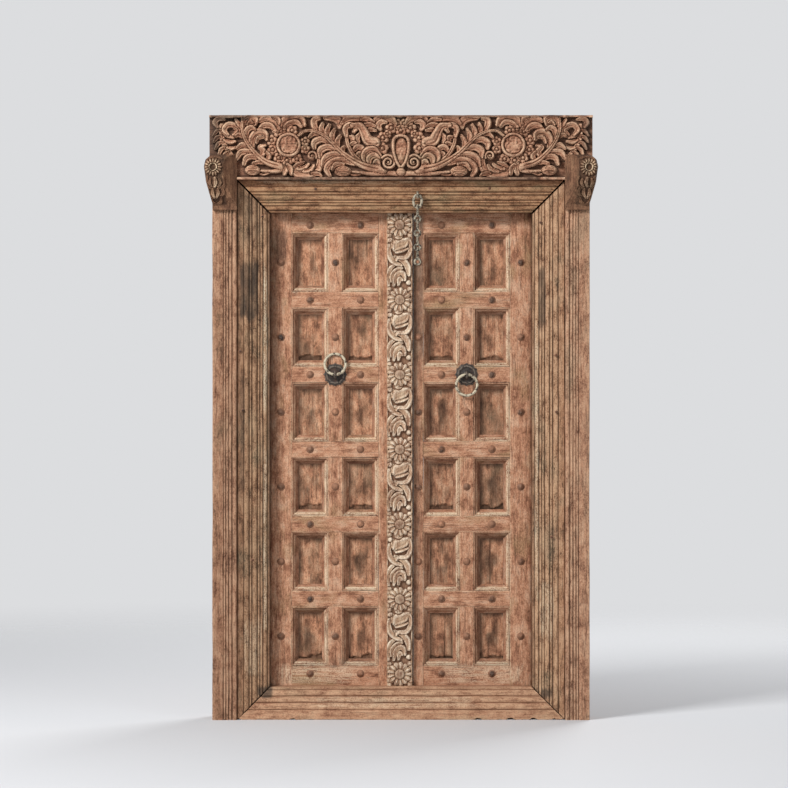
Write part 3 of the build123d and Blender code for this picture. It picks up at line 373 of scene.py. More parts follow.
# Lintel: one thick beam, its front carved in deep relief with mirrored leaf scrolls, two round medallions and
# a pear. The ground is 26 mm down; lobes are rounded over, veined with a gouge and parted by dark cuts.
LINTEL_HALF, LINTEL_HEIGHT, LINTEL_DEPTH, RELIEF, FILLET = 670.0, 224.0, 140.0, 26.0, 11.0


def smooth_line(places, widths, step):
    """Even points, widths, headings and walked shares along a smooth line through a few places."""
    places = np.array(places, float)
    ends = np.vstack([2 * places[0] - places[1], places, 2 * places[-1] - places[-2]])
    pieces = []
    for i in range(1, len(ends) - 2):
        a, b, c, d = ends[i - 1:i + 3]
        t = np.linspace(0, 1, max(3, int(np.hypot(*(c - b)) / step) + 1))[:-1, None]
        square, cube = 2 * a - 5 * b + 4 * c - d, 3 * b - 3 * c + d - a
        pieces.append(0.5 * (2 * b + (c - a) * t + square * t ** 2 + cube * t ** 3))
    line = np.vstack(pieces + [places[-1:]])
    walked = np.concatenate([[0], np.cumsum(np.hypot(*np.diff(line, axis=0).T))])
    share = walked / walked[-1]
    return line, np.interp(share, np.linspace(0, 1, len(widths)), widths), np.gradient(line, axis=0), share


class Ground:
    """Field of carved heights over a board, x across and z up, in millimetres."""

    def __init__(self, x, z):
        self.x, self.z = x, z
        self.height = np.zeros((len(z), len(x)))

    def window(self, low, high):
        """Rows and columns of the field between two corners, with their x and z."""
        cols = slice(*np.searchsorted(self.x, (low[0], high[0])))
        rows = slice(*np.searchsorted(self.z, (low[1], high[1])))
        return (rows, cols), *np.meshgrid(self.x[cols], self.z[rows])

    def press(self, place, level, outside, moat, floor):
        """Sets the level inside an outline, and cuts a moat round it that falls to a floor at its edge."""
        field = self.height[place]
        cut = np.minimum(field, floor + np.clip(outside / moat, 0, 1) * field)
        self.height[place] = np.where(outside < 0, level, np.where(outside < moat, cut, field))

    def ribbon(self, places, widths, crest, vein=0.3, moat=2.2, wall=0.5, roll=0.0):
        """Rounded ribbon along a line, with a gouged vein, a lip rolled up on its outer bend and a moat."""
        line, half, heading, share = smooth_line(places, widths, 1.6)
        reach = max(widths) + moat + 2
        place, grid_x, grid_z = self.window(line.min(0) - reach, line.max(0) + reach)
        gap = np.hypot(grid_x[..., None] - line[:, 0], grid_z[..., None] - line[:, 1])
        near = (gap / half).argmin(-1)
        gap = np.take_along_axis(gap, near[..., None], -1)[..., 0]
        half, share = half[near], share[near]
        t = gap / half
        dome = wall + (1 - wall) * np.sqrt(np.clip(1 - t * t, 0, 1))
        level = crest * (0.82 + 0.18 * share) * dome
        over_x, over_z = grid_x - line[near, 0], grid_z - line[near, 1]
        side = np.sign(heading[near, 0] * over_z - heading[near, 1] * over_x)
        offset = gap * side / half
        bend = np.sign(np.sum(heading[1:, 0] * heading[:-1, 1] - heading[1:, 1] * heading[:-1, 0]))
        lip, hollow = (np.exp(-((offset - at * bend) / 0.3) ** 2) for at in (0.6, 0.02))
        level = level + roll * crest * lip - 0.8 * roll * crest * hollow
        gouge = np.exp(-((offset - (-0.42 * bend if roll else 0.05)) / (0.15 + 0.6 / half)) ** 2)
        level = level - vein * crest * gouge * (share > 0.06)
        self.press(place, level, gap - half, moat, 0.12 * crest)

    def boss(self, centre, radius, crest, ribs=0, turn=0.0, squash=1.0, wall=0.45, rough=0.0, seed=0):
        """Round or oval button, plain or ribbed along its length."""
        reach = radius * max(1, squash) + 3
        place, grid_x, grid_z = self.window(np.array(centre) - reach, np.array(centre) + reach)
        dx, dz = grid_x - centre[0], grid_z - centre[1]
        u = dx * cos(turn) + dz * sin(turn)
        v = -dx * sin(turn) + dz * cos(turn)
        t = np.hypot(u / radius, v / (radius * squash))
        level = crest * (wall + (1 - wall) * np.sqrt(np.clip(1 - t * t, 0, 1)))
        if ribs:
            swing = v / (radius * squash * np.sqrt(np.clip(1 - (u / radius) ** 2, 0.05, 1)))
            level = level * (0.64 + 0.36 * np.abs(np.cos(swing * pi * ribs / 2)) ** 0.6)
        if rough:
            level = level + rough * (weather(np.stack([grid_x, grid_z, 0 * grid_x], -1), 6, seed) - 0.5)
        self.press(place, level, (t - 1) * radius, 2.5, 0.15 * crest)

    def floret(self, centre, radius, petals, crest, turn=0.0):
        """Small flower: round petals parted by nicks, about a button with a drilled ring."""
        place, grid_x, grid_z = self.window(np.array(centre) - radius - 3, np.array(centre) + radius + 3)
        dx, dz = grid_x - centre[0], grid_z - centre[1]
        gap = np.hypot(dx, dz)
        lobe = np.abs(np.cos((np.arctan2(dz, dx) + turn) * petals / 2))
        t = gap / (radius * (0.7 + 0.3 * lobe ** 0.6))
        level = crest * (0.45 + 0.55 * np.sqrt(np.clip(1 - t * t, 0, 1))) * (0.7 + 0.3 * lobe ** 0.5)
        button = np.exp(-(gap / (0.2 * radius)) ** 2)
        drilled = np.exp(-((gap - 0.36 * radius) / (0.11 * radius)) ** 2)
        level += crest * (0.3 * button - 0.5 * drilled)
        self.press(place, level, (t - 1) * radius, 2.2, 0.15 * crest)


def backed(face, back, crest, groove, rim_crest=0.0):
    """Closed run from a grid of points: its rim goes straight back to a flat back."""
    rows, cols = face.shape[:2]
    index = np.arange(rows * cols).reshape(rows, cols)
    quads = np.stack([index[:-1, :-1], index[:-1, 1:], index[1:, 1:], index[1:, :-1]], -1).reshape(-1, 4)
    rim = np.concatenate([index[0, :-1], index[:-1, -1], index[-1, :0:-1], index[:0:-1, 0]])
    behind = face.reshape(-1, 3)[rim]
    behind[:, 1] = back
    last = rows * cols + np.arange(len(rim))
    sides = np.stack([rim, np.roll(rim, -1), np.roll(last, -1), last], -1)
    crest = np.concatenate([crest.ravel(), np.full(len(rim), rim_crest)])
    groove = np.concatenate([groove.ravel(), np.zeros(len(rim))])
    points = np.vstack([face.reshape(-1, 3), behind])
    return points, quads.tolist() + sides.tolist() + [last.tolist()], crest, groove


BLUR = 4


def carved_board(name, ground, back, front, moved, material, body, nodes, seed, roughen, stain=0.0):
    """Solid board whose face is a field of carved heights, with hollows and crests marked for the finish:
    painted shade in the hollows and on the sunk ground, painted highlight on the crests.
    """
    height = ground.height
    most = max(1.0, height.max())
    soft = height
    for axis in (0, 1, 0, 1):
        pad = [(BLUR, BLUR) if a == axis else (0, 0) for a in (0, 1)]
        wide = np.pad(soft, pad, mode="edge")
        soft = sum(np.roll(wide, -k, axis) for k in range(2 * BLUR + 1)) / (2 * BLUR + 1)
        soft = soft[:height.shape[0], :height.shape[1]]
    # painted shade in the cuts and over the sunk ground, painted highlight on the crests; the stain passed in
    # darkens too
    relief = (height - soft) / most
    groove = np.clip(-relief * 3.6, 0, 1) + 0.45 * (1 - ease(height / most, 0.05, 0.34)) + stain
    crest = np.clip(relief * 4.5, 0, 1)
    grid_x, grid_z = np.meshgrid(ground.x, ground.z)
    here = np.stack([grid_x, grid_z, 0 * grid_x], -1)
    height = height + roughen * (weather(here, 9, seed) - 0.5 + 0.6 * (weather(here, 4, seed + 1) - 0.5))
    face = np.stack([grid_x, front + height, grid_z], -1)
    points, faces, crest, groove = backed(face, back, crest, np.clip(groove, 0, 1), rim_crest=0.3)
    timber(name, [(points + np.array(moved), faces, crest, groove)], material, body, nodes, sharp=60)


DRAWING_MIDDLE, DRAWING_FOOT, DRAWING_UNIT = 1545, 588, (0.4497, 0.4464)


def drawn(*places):
    """Places on one half, drawn in units of 0.45 mm counted from its outer top corner."""
    return [((DRAWING_MIDDLE - a) * DRAWING_UNIT[0], (DRAWING_FOOT - b) * DRAWING_UNIT[1]) for a, b in places]


# (line, half widths in drawing units, height share) in the order they are cut, the deeper ones first
LEAFAGE = (
    # fans under the top fillet
    (((1345, 165), (1358, 122), (1410, 100), (1470, 112), (1505, 150)), (10, 20, 24, 20, 10), 0.68),
    (((1385, 195), (1368, 165), (1392, 138), (1430, 140)), (10, 16, 14, 8), 0.74),
    (((1068, 180), (1064, 135), (1020, 106), (955, 108)), (10, 20, 20, 10), 0.68),
    (((1085, 150), (1130, 110), (1200, 102), (1275, 118)), (10, 20, 20, 8), 0.72),
    (((612, 168), (645, 120), (705, 102), (768, 114), (795, 160)), (10, 20, 24, 20, 10), 0.7),
    (((640, 176), (680, 146), (735, 140), (768, 172)), (8, 12, 14, 9), 0.78),
    (((598, 190), (560, 142), (500, 112), (448, 130)), (9, 20, 22, 10), 0.7),
    (((570, 205), (530, 168), (482, 166), (446, 192)), (9, 16, 17, 9), 0.76),
    (((598, 150), (592, 118), (556, 102)), (9, 13, 9), 0.72),
    # hanging frond at the end
    (((150, 165), (150, 240), (175, 320), (235, 405)), (10, 12, 12, 10), 0.8),
    (((148, 200), (115, 210), (88, 245)), (7, 10, 6), 0.66),
    (((150, 250), (118, 258), (90, 296)), (7, 11, 6), 0.68),
    (((162, 296), (128, 306), (104, 350)), (7, 11, 6), 0.7),
    (((180, 338), (148, 352), (130, 395)), (7, 11, 7), 0.7),
    (((205, 372), (178, 392), (165, 425)), (7, 11, 7), 0.72),
    (((160, 215), (196, 245), (240, 262)), (7, 12, 7), 0.7),
    (((172, 280), (212, 296), (255, 292)), (7, 12, 7), 0.7),
    (((196, 340), (232, 345), (262, 335)), (7, 11, 6), 0.7),
    (((120, 180), (100, 140), (130, 112), (175, 120)), (8, 14, 13, 7), 0.66),
    (((300, 214), (252, 168), (200, 162), (172, 200), (200, 240)), (8, 14, 15, 14, 8), 0.8),
    (((240, 240), (268, 205), (250, 190)), (6, 9, 6), 0.72),
    # outer frond: lobes, then its stem over them
    (((330, 262), (288, 238), (262, 250)), (9, 13, 8), 0.74),
    (((362, 335), (310, 318), (272, 345)), (9, 15, 9), 0.76),
    (((430, 402), (360, 372), (300, 378), (270, 425)), (9, 16, 17, 10), 0.8),
    (((470, 440), (400, 410), (345, 420), (325, 470)), (9, 15, 16, 9), 0.8),
    (((520, 462), (450, 452), (400, 462)), (8, 13, 9), 0.72),
    (((452, 418), (478, 372), (452, 335), (490, 322)), (9, 15, 13, 7), 0.78),
    (((500, 446), (520, 405), (500, 375)), (8, 13, 8), 0.72),
    (((392, 350), (388, 270), (430, 222), (488, 228), (500, 275)), (9, 18, 20, 18, 9), 0.86),
    (((420, 300), (440, 262), (480, 258)), (7, 11, 7), 0.92),
    (((345, 262), (348, 205), (385, 182), (412, 200)), (8, 15, 15, 8), 0.84),
    (((318, 180), (330, 120), (376, 98), (418, 118), (412, 160)), (8, 15, 18, 15, 8), 0.8),
    (((352, 160), (375, 138), (396, 150)), (6, 10, 6), 0.86),
    (((312, 190), (282, 150), (262, 120)), (8, 13, 7), 0.72),
    (((620, 492), (500, 452), (412, 380), (345, 290), (312, 200), (312, 112)), (17, 15, 12, 10, 8, 6), 0.95),
    # leaf under the small scroll, and the tie with its two drops
    (((690, 505), (745, 545), (830, 548), (900, 505), (915, 440), (892, 395)),
     (14, 22, 24, 22, 16, 10), 0.78),
    (((745, 505), (790, 500), (826, 470)), (9, 13, 8), 0.88),
    (((790, 525), (840, 515), (868, 478)), (9, 13, 8), 0.9),
    (((715, 490), (745, 470), (790, 455)), (7, 12, 7), 0.8),
    (((850, 540), (905, 545), (925, 560)), (9, 12, 7), 0.7),
    (((640, 462), (655, 500), (640, 545)), (10, 15, 10), 0.88),
    (((662, 470), (688, 505), (692, 545)), (9, 14, 9), 0.84),
    # inner frond: hooded leaf that droops to a bulb
    (((1235, 120), (1290, 118), (1335, 140)), (8, 13, 7), 0.72),
    (((1252, 160), (1305, 158), (1345, 172)), (8, 13, 7), 0.76),
    (((1270, 205), (1312, 198), (1350, 206)), (8, 12, 7), 0.76),
    (((1225, 230), (1205, 262), (1218, 300)), (8, 13, 7), 0.76),
    (((1140, 255), (1172, 262), (1165, 300)), (8, 13, 8), 0.76),
    (((1150, 315), (1185, 305), (1198, 345)), (8, 13, 8), 0.78),
    (((1172, 370), (1205, 335), (1242, 345), (1235, 390)), (9, 15, 15, 8), 0.8),
    (((1205, 425), (1220, 385), (1248, 395)), (8, 13, 8), 0.78),
    (((1120, 330), (1090, 345), (1085, 380)), (8, 12, 8), 0.74),
    (((1265, 482), (1180, 400), (1132, 310), (1122, 232)), (13, 11, 9, 8), 0.9),
    (((1122, 250), (1112, 190), (1150, 162), (1200, 178), (1180, 215)), (10, 14, 16, 14, 9), 0.84),
    (((1165, 165), (1228, 172), (1262, 222), (1292, 282), (1345, 300)), (11, 18, 22, 26, 26), 0.95),
    # nested curls beside the volute
    (((1385, 400), (1330, 352), (1272, 372), (1258, 420), (1280, 455)), (9, 17, 19, 17, 9), 0.8),
    (((1388, 440), (1338, 400), (1298, 425), (1300, 475)), (9, 16, 17, 9), 0.86),
    (((1392, 480), (1358, 448), (1332, 480)), (9, 15, 9), 0.9),
    (((1330, 505), (1345, 478), (1365, 500)), (8, 10, 7), 0.76),
    # main frond: lobes above, lobes below, then its stem
    (((905, 215), (872, 170), (872, 122), (910, 112)), (9, 16, 16, 9), 0.82),
    (((948, 250), (925, 195), (938, 150)), (9, 15, 8), 0.78),
    (((985, 280), (970, 215), (990, 160)), (9, 15, 8), 0.8),
    (((1020, 315), (1008, 245), (1030, 195)), (9, 15, 8), 0.8),
    (((1058, 355), (1050, 290), (1075, 245)), (9, 14, 8), 0.78),
    (((1095, 395), (1092, 350), (1108, 330)), (8, 12, 7), 0.72),
    (((925, 240), (870, 228), (832, 258)), (9, 14, 8), 0.8),
    (((985, 300), (925, 275), (872, 300), (872, 345)), (9, 16, 18, 9), 0.84),
    (((1045, 365), (980, 335), (920, 362), (918, 415)), (9, 17, 19, 9), 0.86),
    (((1110, 425), (1030, 392), (955, 425), (935, 480)), (9, 17, 19, 9), 0.86),
    (((1180, 470), (1090, 436), (1005, 460), (968, 510), (992, 560)), (9, 17, 20, 18, 9), 0.86),
    (((1100, 470), (1040, 470), (1010, 510)), (8, 13, 8), 0.9),
    (((1410, 515), (1260, 482), (1110, 395), (1015, 305), (945, 245), (870, 212), (800, 210), (748, 246)),
     (20, 18, 15, 12, 10, 8, 7, 7), 1.0),
)
PLAIN_STEMS = (
    (((1545, 548), (1460, 540), (1330, 545), (1160, 528)), (22, 18, 15, 10), 0.7),
    (((640, 500), (560, 525), (452, 520)), (22, 16, 9), 0.72),
    (((450, 545), (480, 552), (520, 540)), (8, 9, 6), 0.5),
    (((1150, 548), (1180, 556), (1230, 552)), (8, 9, 6), 0.5),
)
# florets: place and radius in drawing units
FLORETS = ((588, 212, 34), (640, 196, 34), (700, 204, 34), (540, 282, 34), (548, 356, 34), (596, 418, 34),
           (660, 440, 36), (738, 428, 34), (800, 350, 32), (800, 290, 30), (1405, 262, 38), (1402, 345, 38),
           (1470, 185, 36), (1545, 205, 34), (1520, 150, 30), (1440, 232, 26))
UNIT, FULLNESS, FLORET_FULLNESS = 0.45, 1.62, 1.3
LINTEL_COLS, LINTEL_ROWS, PETALS_EACH = 360, 122, 5
x_half = np.linspace(0, LINTEL_HALF, LINTEL_COLS)
ground = Ground(x_half, np.linspace(0, LINTEL_HEIGHT, LINTEL_ROWS))
for line, widths, share in PLAIN_STEMS:
    ground.ribbon(drawn(*line), [w * UNIT for w in widths], share * RELIEF, vein=0.0)
for a, b, radius in FLORETS:
    ground.floret(drawn((a, b))[0], radius * UNIT * FLORET_FULLNESS, PETALS_EACH, 0.62 * RELIEF, turn=a)
for line, widths, share in LEAFAGE:
    # stems stay plain in a narrow cut; leaves have a rolled lip in a wider one
    stem = len(widths) in (4, 6, 8) and share >= 0.9
    ground.ribbon(drawn(*line), [w * UNIT * FULLNESS for w in widths], share * RELIEF,
                  moat=0.9 if stem else 1.7, roll=0.0 if stem else 0.16)
# medallion with its raised rim
MEDAL, MEDAL_RIM, RIM_HALF = 40, 38, (5.2, 5.4)
medal = drawn((672, 318))[0]
ground.boss(medal, MEDAL, 0.62 * RELIEF, wall=0.6, rough=8.0, seed=3)
ring = [(medal[0] + MEDAL_RIM * cos(a), medal[1] + MEDAL_RIM * sin(a))
        for a in np.linspace(0.6, 2 * pi + 0.5, 26)]
ground.ribbon(ring, RIM_HALF, 0.9 * RELIEF, vein=0.0)
# the volute and the small scroll: centre, radius, turns, opening, way round, half width of the band
COILS = (((1447, 455), 27, 1.75, 0.6, 1, 4.8), ((853, 404), 17, 1.3, 3.6, -1, 4.2))
COIL_EYE = 4.5
for centre, radius, turns, opening, way, band in COILS:
    at = drawn(centre)[0]
    coil = []
    for s in np.linspace(0, 1, 30):
        reach, angle = radius * (1 - 0.8 * s), opening + way * 2 * pi * turns * s
        coil.append((at[0] + reach * cos(angle), at[1] + reach * sin(angle)))
    ground.boss(at, radius, 0.3 * RELIEF)
    ground.ribbon(coil, [band, band, band * 0.8], 0.9 * RELIEF, vein=0.0, moat=1.6)
    ground.boss(at, COIL_EYE, RELIEF)
# the pear in its arch, with a knob under it, and two ribbed buds as place, half width and squash
PEAR, KNOB, ARCH_HALF, BUDS = 25, 16, (5.5, 5.5), (((1095, 525), 30, 0.62), ((392, 516), 27, 0.68))
PEAR_ARCH = ((1545, 500), (1512, 452), (1490, 380), (1484, 312), (1494, 268), (1520, 250), (1548, 246))
ground.boss((0, drawn((DRAWING_MIDDLE, 370))[0][1]), PEAR, 0.55 * RELIEF, squash=2.0, rough=5.0, seed=4)
ground.ribbon(drawn(*PEAR_ARCH), ARCH_HALF, 0.92 * RELIEF, vein=0.0)
ground.boss((0, drawn((DRAWING_MIDDLE, 530))[0][1]), KNOB, 0.95 * RELIEF, squash=0.9)
for place, wide, tall in BUDS:
    ground.boss(drawn(place)[0], wide, 0.95 * RELIEF, ribs=7, squash=tall)
x_full = np.concatenate([-x_half[:0:-1], x_half])
lintel_ground = Ground(x_full, ground.z)
whole = np.concatenate([ground.height[:, :0:-1], ground.height], 1)
up = np.broadcast_to(ground.z[:, None], whole.shape)
wide = np.broadcast_to(np.abs(x_full)[None, :], whole.shape)
ragged = weather(np.stack([np.broadcast_to(x_full, up.shape), 0 * up, 0 * up], -1), 18, 6)
fillet = (up > LINTEL_HEIGHT - 5 - 5 * ragged) | ((up < FILLET - 2) & (wide < FRAME_EDGE))
lintel_ground.height = np.where(fillet, np.maximum((0.4 + 0.35 * ragged) * RELIEF, whole), whole)
# crests painted pale as painted highlight over cuts darkened as painted shade, so that the relief reads from
# far off
LINTEL_TONES = ("#835640", "#B38064", "#CA9E80", "#927A5E", 0.34, "#302018", "#DCBC9C")
lintel_wood = aged_wood("carved hardwood, grain level", 0, *LINTEL_TONES, seed=5)
carved_board("lintel_carved", lintel_ground, 0.0, LINTEL_DEPTH, (0, 0, LINTEL_UNDER), lintel_wood, "frame",
             ["lintel"], seed=50, roughen=0.9)

# Corbels: a block under each end of the lintel, bracketed off the pilaster, its front cut with a flower over
# hanging leaves. The inner cheek is plain and slants back; the foot tapers into the pilaster in an S.
CORBEL_WIDE, CORBEL_TALL, CORBEL_LOW, CORBEL_OUT = 106.0, 192.0, 1785.0, 62.0
# the wood is smoke-dark; the sunk ground is darker still as painted shade, and the crests pale as painted
# highlight
CORBEL_TONES = ("#5A3C2B", "#7E5A43", "#9C7558", "#66523C", 0.4, "#241811", "#F2D6B2")
corbel_wood = aged_wood("smoke-dark carved hardwood, grain upright", 2, *CORBEL_TONES, seed=11,
                        edge_share=1.0)
CORBEL_SPREAD, CORBEL_COLS, CORBEL_ROWS, CORBEL_CUT = 1.07, 81, 136, 10.0
CORBEL_REACH = CORBEL_SPREAD * CORBEL_WIDE
# leaves from the inner edge and the foot, in millimetres: line, half widths, height share
CORBEL_LEAVES = (
    (((46, 112), (36, 96), (42, 78), (58, 74)), (4, 7, 7, 4), 0.7),
    (((100, 112), (104, 94), (94, 78), (80, 76)), (4, 7, 7, 4), 0.75),
    (((74, 108), (70, 92), (74, 78)), (5, 8, 5), 0.9), (((58, 104), (54, 90), (62, 76)), (4, 6, 4), 0.8),
    (((90, 104), (92, 90), (86, 78)), (4, 6, 4), 0.8), (((48, 72), (44, 56), (54, 44)), (4, 7, 4), 0.75),
    (((98, 72), (98, 56), (86, 44)), (4, 7, 4), 0.75), (((64, 70), (62, 54), (70, 40)), (4, 7, 4), 0.85),
    (((82, 70), (82, 54), (76, 40)), (4, 7, 4), 0.85), (((52, 40), (54, 26), (68, 18)), (4, 6, 4), 0.7),
    (((86, 40), (84, 26), (72, 18)), (4, 6, 4), 0.7), (((48, 174), (74, 185), (100, 174)), (4, 6, 4), 0.55),
)
FLOWER, PETALS, PETAL_RING = (80.0, 146.0), 16, 23
cut = Ground(np.linspace(0, CORBEL_REACH, CORBEL_COLS), np.linspace(0, CORBEL_TALL, CORBEL_ROWS))
for line, widths, share in CORBEL_LEAVES:
    cut.ribbon(line, widths, share * CORBEL_CUT, vein=0.25, moat=1.6)
for k in range(PETALS):
    angle = 2 * pi * k / PETALS
    petal = (FLOWER[0] + PETAL_RING * cos(angle), FLOWER[1] + PETAL_RING * sin(angle))
    cut.boss(petal, radius=9.5, crest=8.6, turn=angle, squash=0.48, ribs=2)
cut.boss(FLOWER, radius=14.5, crest=12, wall=0.8)
cut.boss(FLOWER, radius=9.0, crest=2.0, wall=0.9, squash=1.15)
# outlines as shares: height against width, height against projection, width against projection
FRONT_LINE = ((0, 0.12, 0.27, 0.5, 0.78, 0.9, 0.96, 1.0),
              (0.79, 0.8, 0.88, 1.0, CORBEL_SPREAD, 1.02, 0.9, 0.74))
SIDE_LINE = ((0, 0.03, 0.1, 0.22, 0.45, 0.76, 0.9, 0.96, 1.0),
             (0.3, 0.3, 0.36, 0.62, 0.93, 1.0, 0.92, 0.8, 0.45))
PLAN_LINE = ((0, 0.42, 0.9, 0.97, 1.0), (0.35, 1.0, 1.0, 0.86, 0.6))
for side, hand in HANDS:
    up = np.linspace(0, 1, CORBEL_ROWS)[:, None]
    over = np.concatenate([np.linspace(0, 0.985, CORBEL_COLS - 3), [0.99, 0.995, 1.0]])[None, :]
    x = over * np.interp(up, *FRONT_LINE) * CORBEL_WIDE
    z = np.broadcast_to(up * CORBEL_TALL, x.shape)
    out = CORBEL_OUT * np.minimum(np.interp(up, *SIDE_LINE), np.interp(over, *PLAN_LINE))
    rows = np.broadcast_to(np.arange(CORBEL_ROWS)[:, None], x.shape)
    cols = np.clip(np.rint(x / CORBEL_REACH * (CORBEL_COLS - 1)).astype(int), 0, CORBEL_COLS - 1)
    shown = ease(over, 0.3, 0.42) * (1 - 0.5 * ease(over, 0.96, 1.0))
    shown = shown * ease(up, 0.05, 0.12) * (1 - 0.6 * ease(up, 0.93, 1.0))
    relief = cut.height[rows, cols] * shown
    here = np.stack([x, z, 0 * x], -1)
    depth = PILASTER_DEPTH + out - 3 + relief * 0.95 + 1.2 * (weather(here, 14, 90 + side) - 0.5)
    # painted shade over the sunk ground; the crests below take the painted highlight
    groove = np.clip((1 - relief / 6.0) * ease(over, 0.36, 0.45) * ease(up, 0.06, 0.12), 0, 1) * 0.75
    face = np.stack([side * (FRAME_EDGE + x), depth, CORBEL_LOW + z], -1)
    run = backed(face, PILASTER_DEPTH, ease(relief, 6, 9.5), groove, rim_crest=0.2)
    timber(f"{hand}_corbel_carved", [run], corbel_wood, "frame", [f"{hand}_corbel"],
           sharp=60)

# Leaves: stiles, rails and muntins pinned into a lattice, each opening edged by a mitred bevel, with thin
# boards behind. The wood is redder and drier than the frame, and the joints have opened by a hair.
LEAF, ROWS, ROW_PITCH, MIDDLE = 45.0, 6, 264.0, 945.5
COLUMNS, OPENING, OPENING_TALL, RAIL = (143.0, 321.0), 127.0, 206.0, 58.0
LEAF_LOW, LEAF_HIGH, MEETING_CLEAR, HANGING_CLEAR, LEAF_EDGE = 101.5, 1789.5, 79.5, 384.5, 472.4
BOARD_BACK, BOARD_FRONT, BOARD_HALF, STICKING, HEEL = 8.0, 23.0, 58.2, 12.0, 22.4
MUNTIN_NEAR, MUNTIN = COLUMNS[0] + OPENING / 2, COLUMNS[1] - COLUMNS[0] - OPENING
MEETING_REACH = {"left": 40.0, "right": -43.5}
TONGUE, TONGUE_SHORT, TONGUE_STEP = ((39.6, 43.1), (18, 27)), 2, 60
LEAF_STEP, BEVEL_STEP, LEAF_WEAR, BEVEL_WEAR, HAIR = 11, 9, 0.7, 0.6, 0.3
# dry wood shows a warm red with few fibres; the boards are a paler tone, and painted shade darkens their left
# and upper edges
LATTICE_TONES = ("#8E5D45", "#C08969", "#D3A688", "#9C7C58", 0.38, "#35231A", "#E6CAA8")
lattice_upright = aged_wood("dry red hardwood, grain upright", 2, *LATTICE_TONES, seed=6, grain=0.3)
lattice_level = aged_wood("dry red hardwood, grain level", 0, *LATTICE_TONES, seed=7, grain=0.3)
BOARD_TONES = ("#875B44", "#C68E6C", "#DAAB89", "#75604A", 0.55, "#2E1F15", "#DCB694")
board_wood = aged_wood("thin hardwood board, grain upright", 2, *BOARD_TONES, seed=8, grain=0.2)
# how far smoke has darkened the upper, middle and lower boards
BOARD_GRIME = {"left": (0.08, 0.02, 0.02), "right": (0.1, 0.24, 0.16)}


def plank_section(width, back, heel=0.0):
    """Plank with eased arrises, or a round heel to turn on, as (across, depth, crest, groove) rows."""
    flat = width - heel - 4
    rows = [(0.0, back, 0, 0.3), (0.0, LEAF - 3, 0.1, 0.8), (0.5, LEAF - 1.1, 0.7, 0.1),
            (1.6, LEAF - 0.2, 0.8, 0)]
    rows += [(u, LEAF, 0.12, 0) for u in np.linspace(4, flat, max(4, int(flat / 8)))]
    if heel:
        return rows + [(width - heel + heel * sin(a), LEAF / 2 * (1 + cos(a)), 0.1, 0.3 * sin(a))
                       for a in np.linspace(0, pi, 15)]
    return rows + [(width - 1.6, LEAF - 0.2, 0.8, 0), (width - 0.5, LEAF - 1.1, 0.7, 0.1),
                   (width, LEAF - 3, 0.1, 0.8), (width, back, 0, 0.3)]


# section of a bevel from the face of the lattice down to the board: an arris, a bead and a cove
STICKING_ROWS = [(0.0, 21.5, 0, 1), (0.0, LEAF - 3.0, 0, 1), (1.0, LEAF - 0.8, 0.8, 0.2),
                 (2.4, LEAF - 0.4, 1, 0), (3.6, LEAF - 1.4, 0.8, 0), (4.6, LEAF - 4.4, 0, 0.8),
                 (6.2, LEAF - 5.6, 0.3, 0.2), (8.6, LEAF - 6.8, 0.9, 0), (10.4, LEAF - 8.2, 1, 0),
                 (12.0, LEAF - 11.0, 0.5, 0.1), (13.8, LEAF - 14.6, 0.2, 0.2), (16.0, LEAF - 17.8, 0.1, 0.3),
                 (18.8, LEAF - 20.0, 0, 0.4), (22.4, 23.4, 0, 0.5), (22.6, 21.5, 0, 0.6)]
RIGHTWARD, LEFTWARD, UPWARD, DOWNWARD = (1, 0), (-1, 0), (0, 1), (0, -1)


def edge_run(centre, way, seed):
    """Mitred bevel along the side of an opening that lies that way from its centre; the left and upper bevels
    carry painted shade.
    """
    x, z = centre
    wide, tall = OPENING / 2, OPENING_TALL / 2
    painted_shade_side = way in (LEFTWARD, UPWARD)
    # painted shade on the left and upper bevels, which face away from the light: dimmer arris and a darker
    # hollow
    rows = [(e, d, crest * (1 - 0.6 * painted_shade_side), min(1, groove + 0.34 * painted_shade_side * (e > 5)))
            for e, d, crest, groove in STICKING_ROWS]
    if way[0]:
        ends = (lambda e, d: z - tall + e, lambda e, d: z + tall - e)
        return swept(rows, ends, BEVEL_STEP, lambda e, d, a: (x + way[0] * (wide - e), d, a),
                     BEVEL_WEAR, seed)
    ends = (lambda e, d: x - wide + e, lambda e, d: x + wide - e)
    return swept(rows, ends, BEVEL_STEP, lambda e, d, a: (a, d, z + way[1] * (tall - e)), BEVEL_WEAR, seed)


# a board's ragged foot: its rise, slow swing and jags, and how deep it and the splits go
FOOT, FOOT_SWING, FOOT_JAGS, FOOT_DEEP, SPLIT_DEEP = 27, 22, 8, 6.5, 2.0
BOARD_COLS, BOARD_ROWS = 34, 120


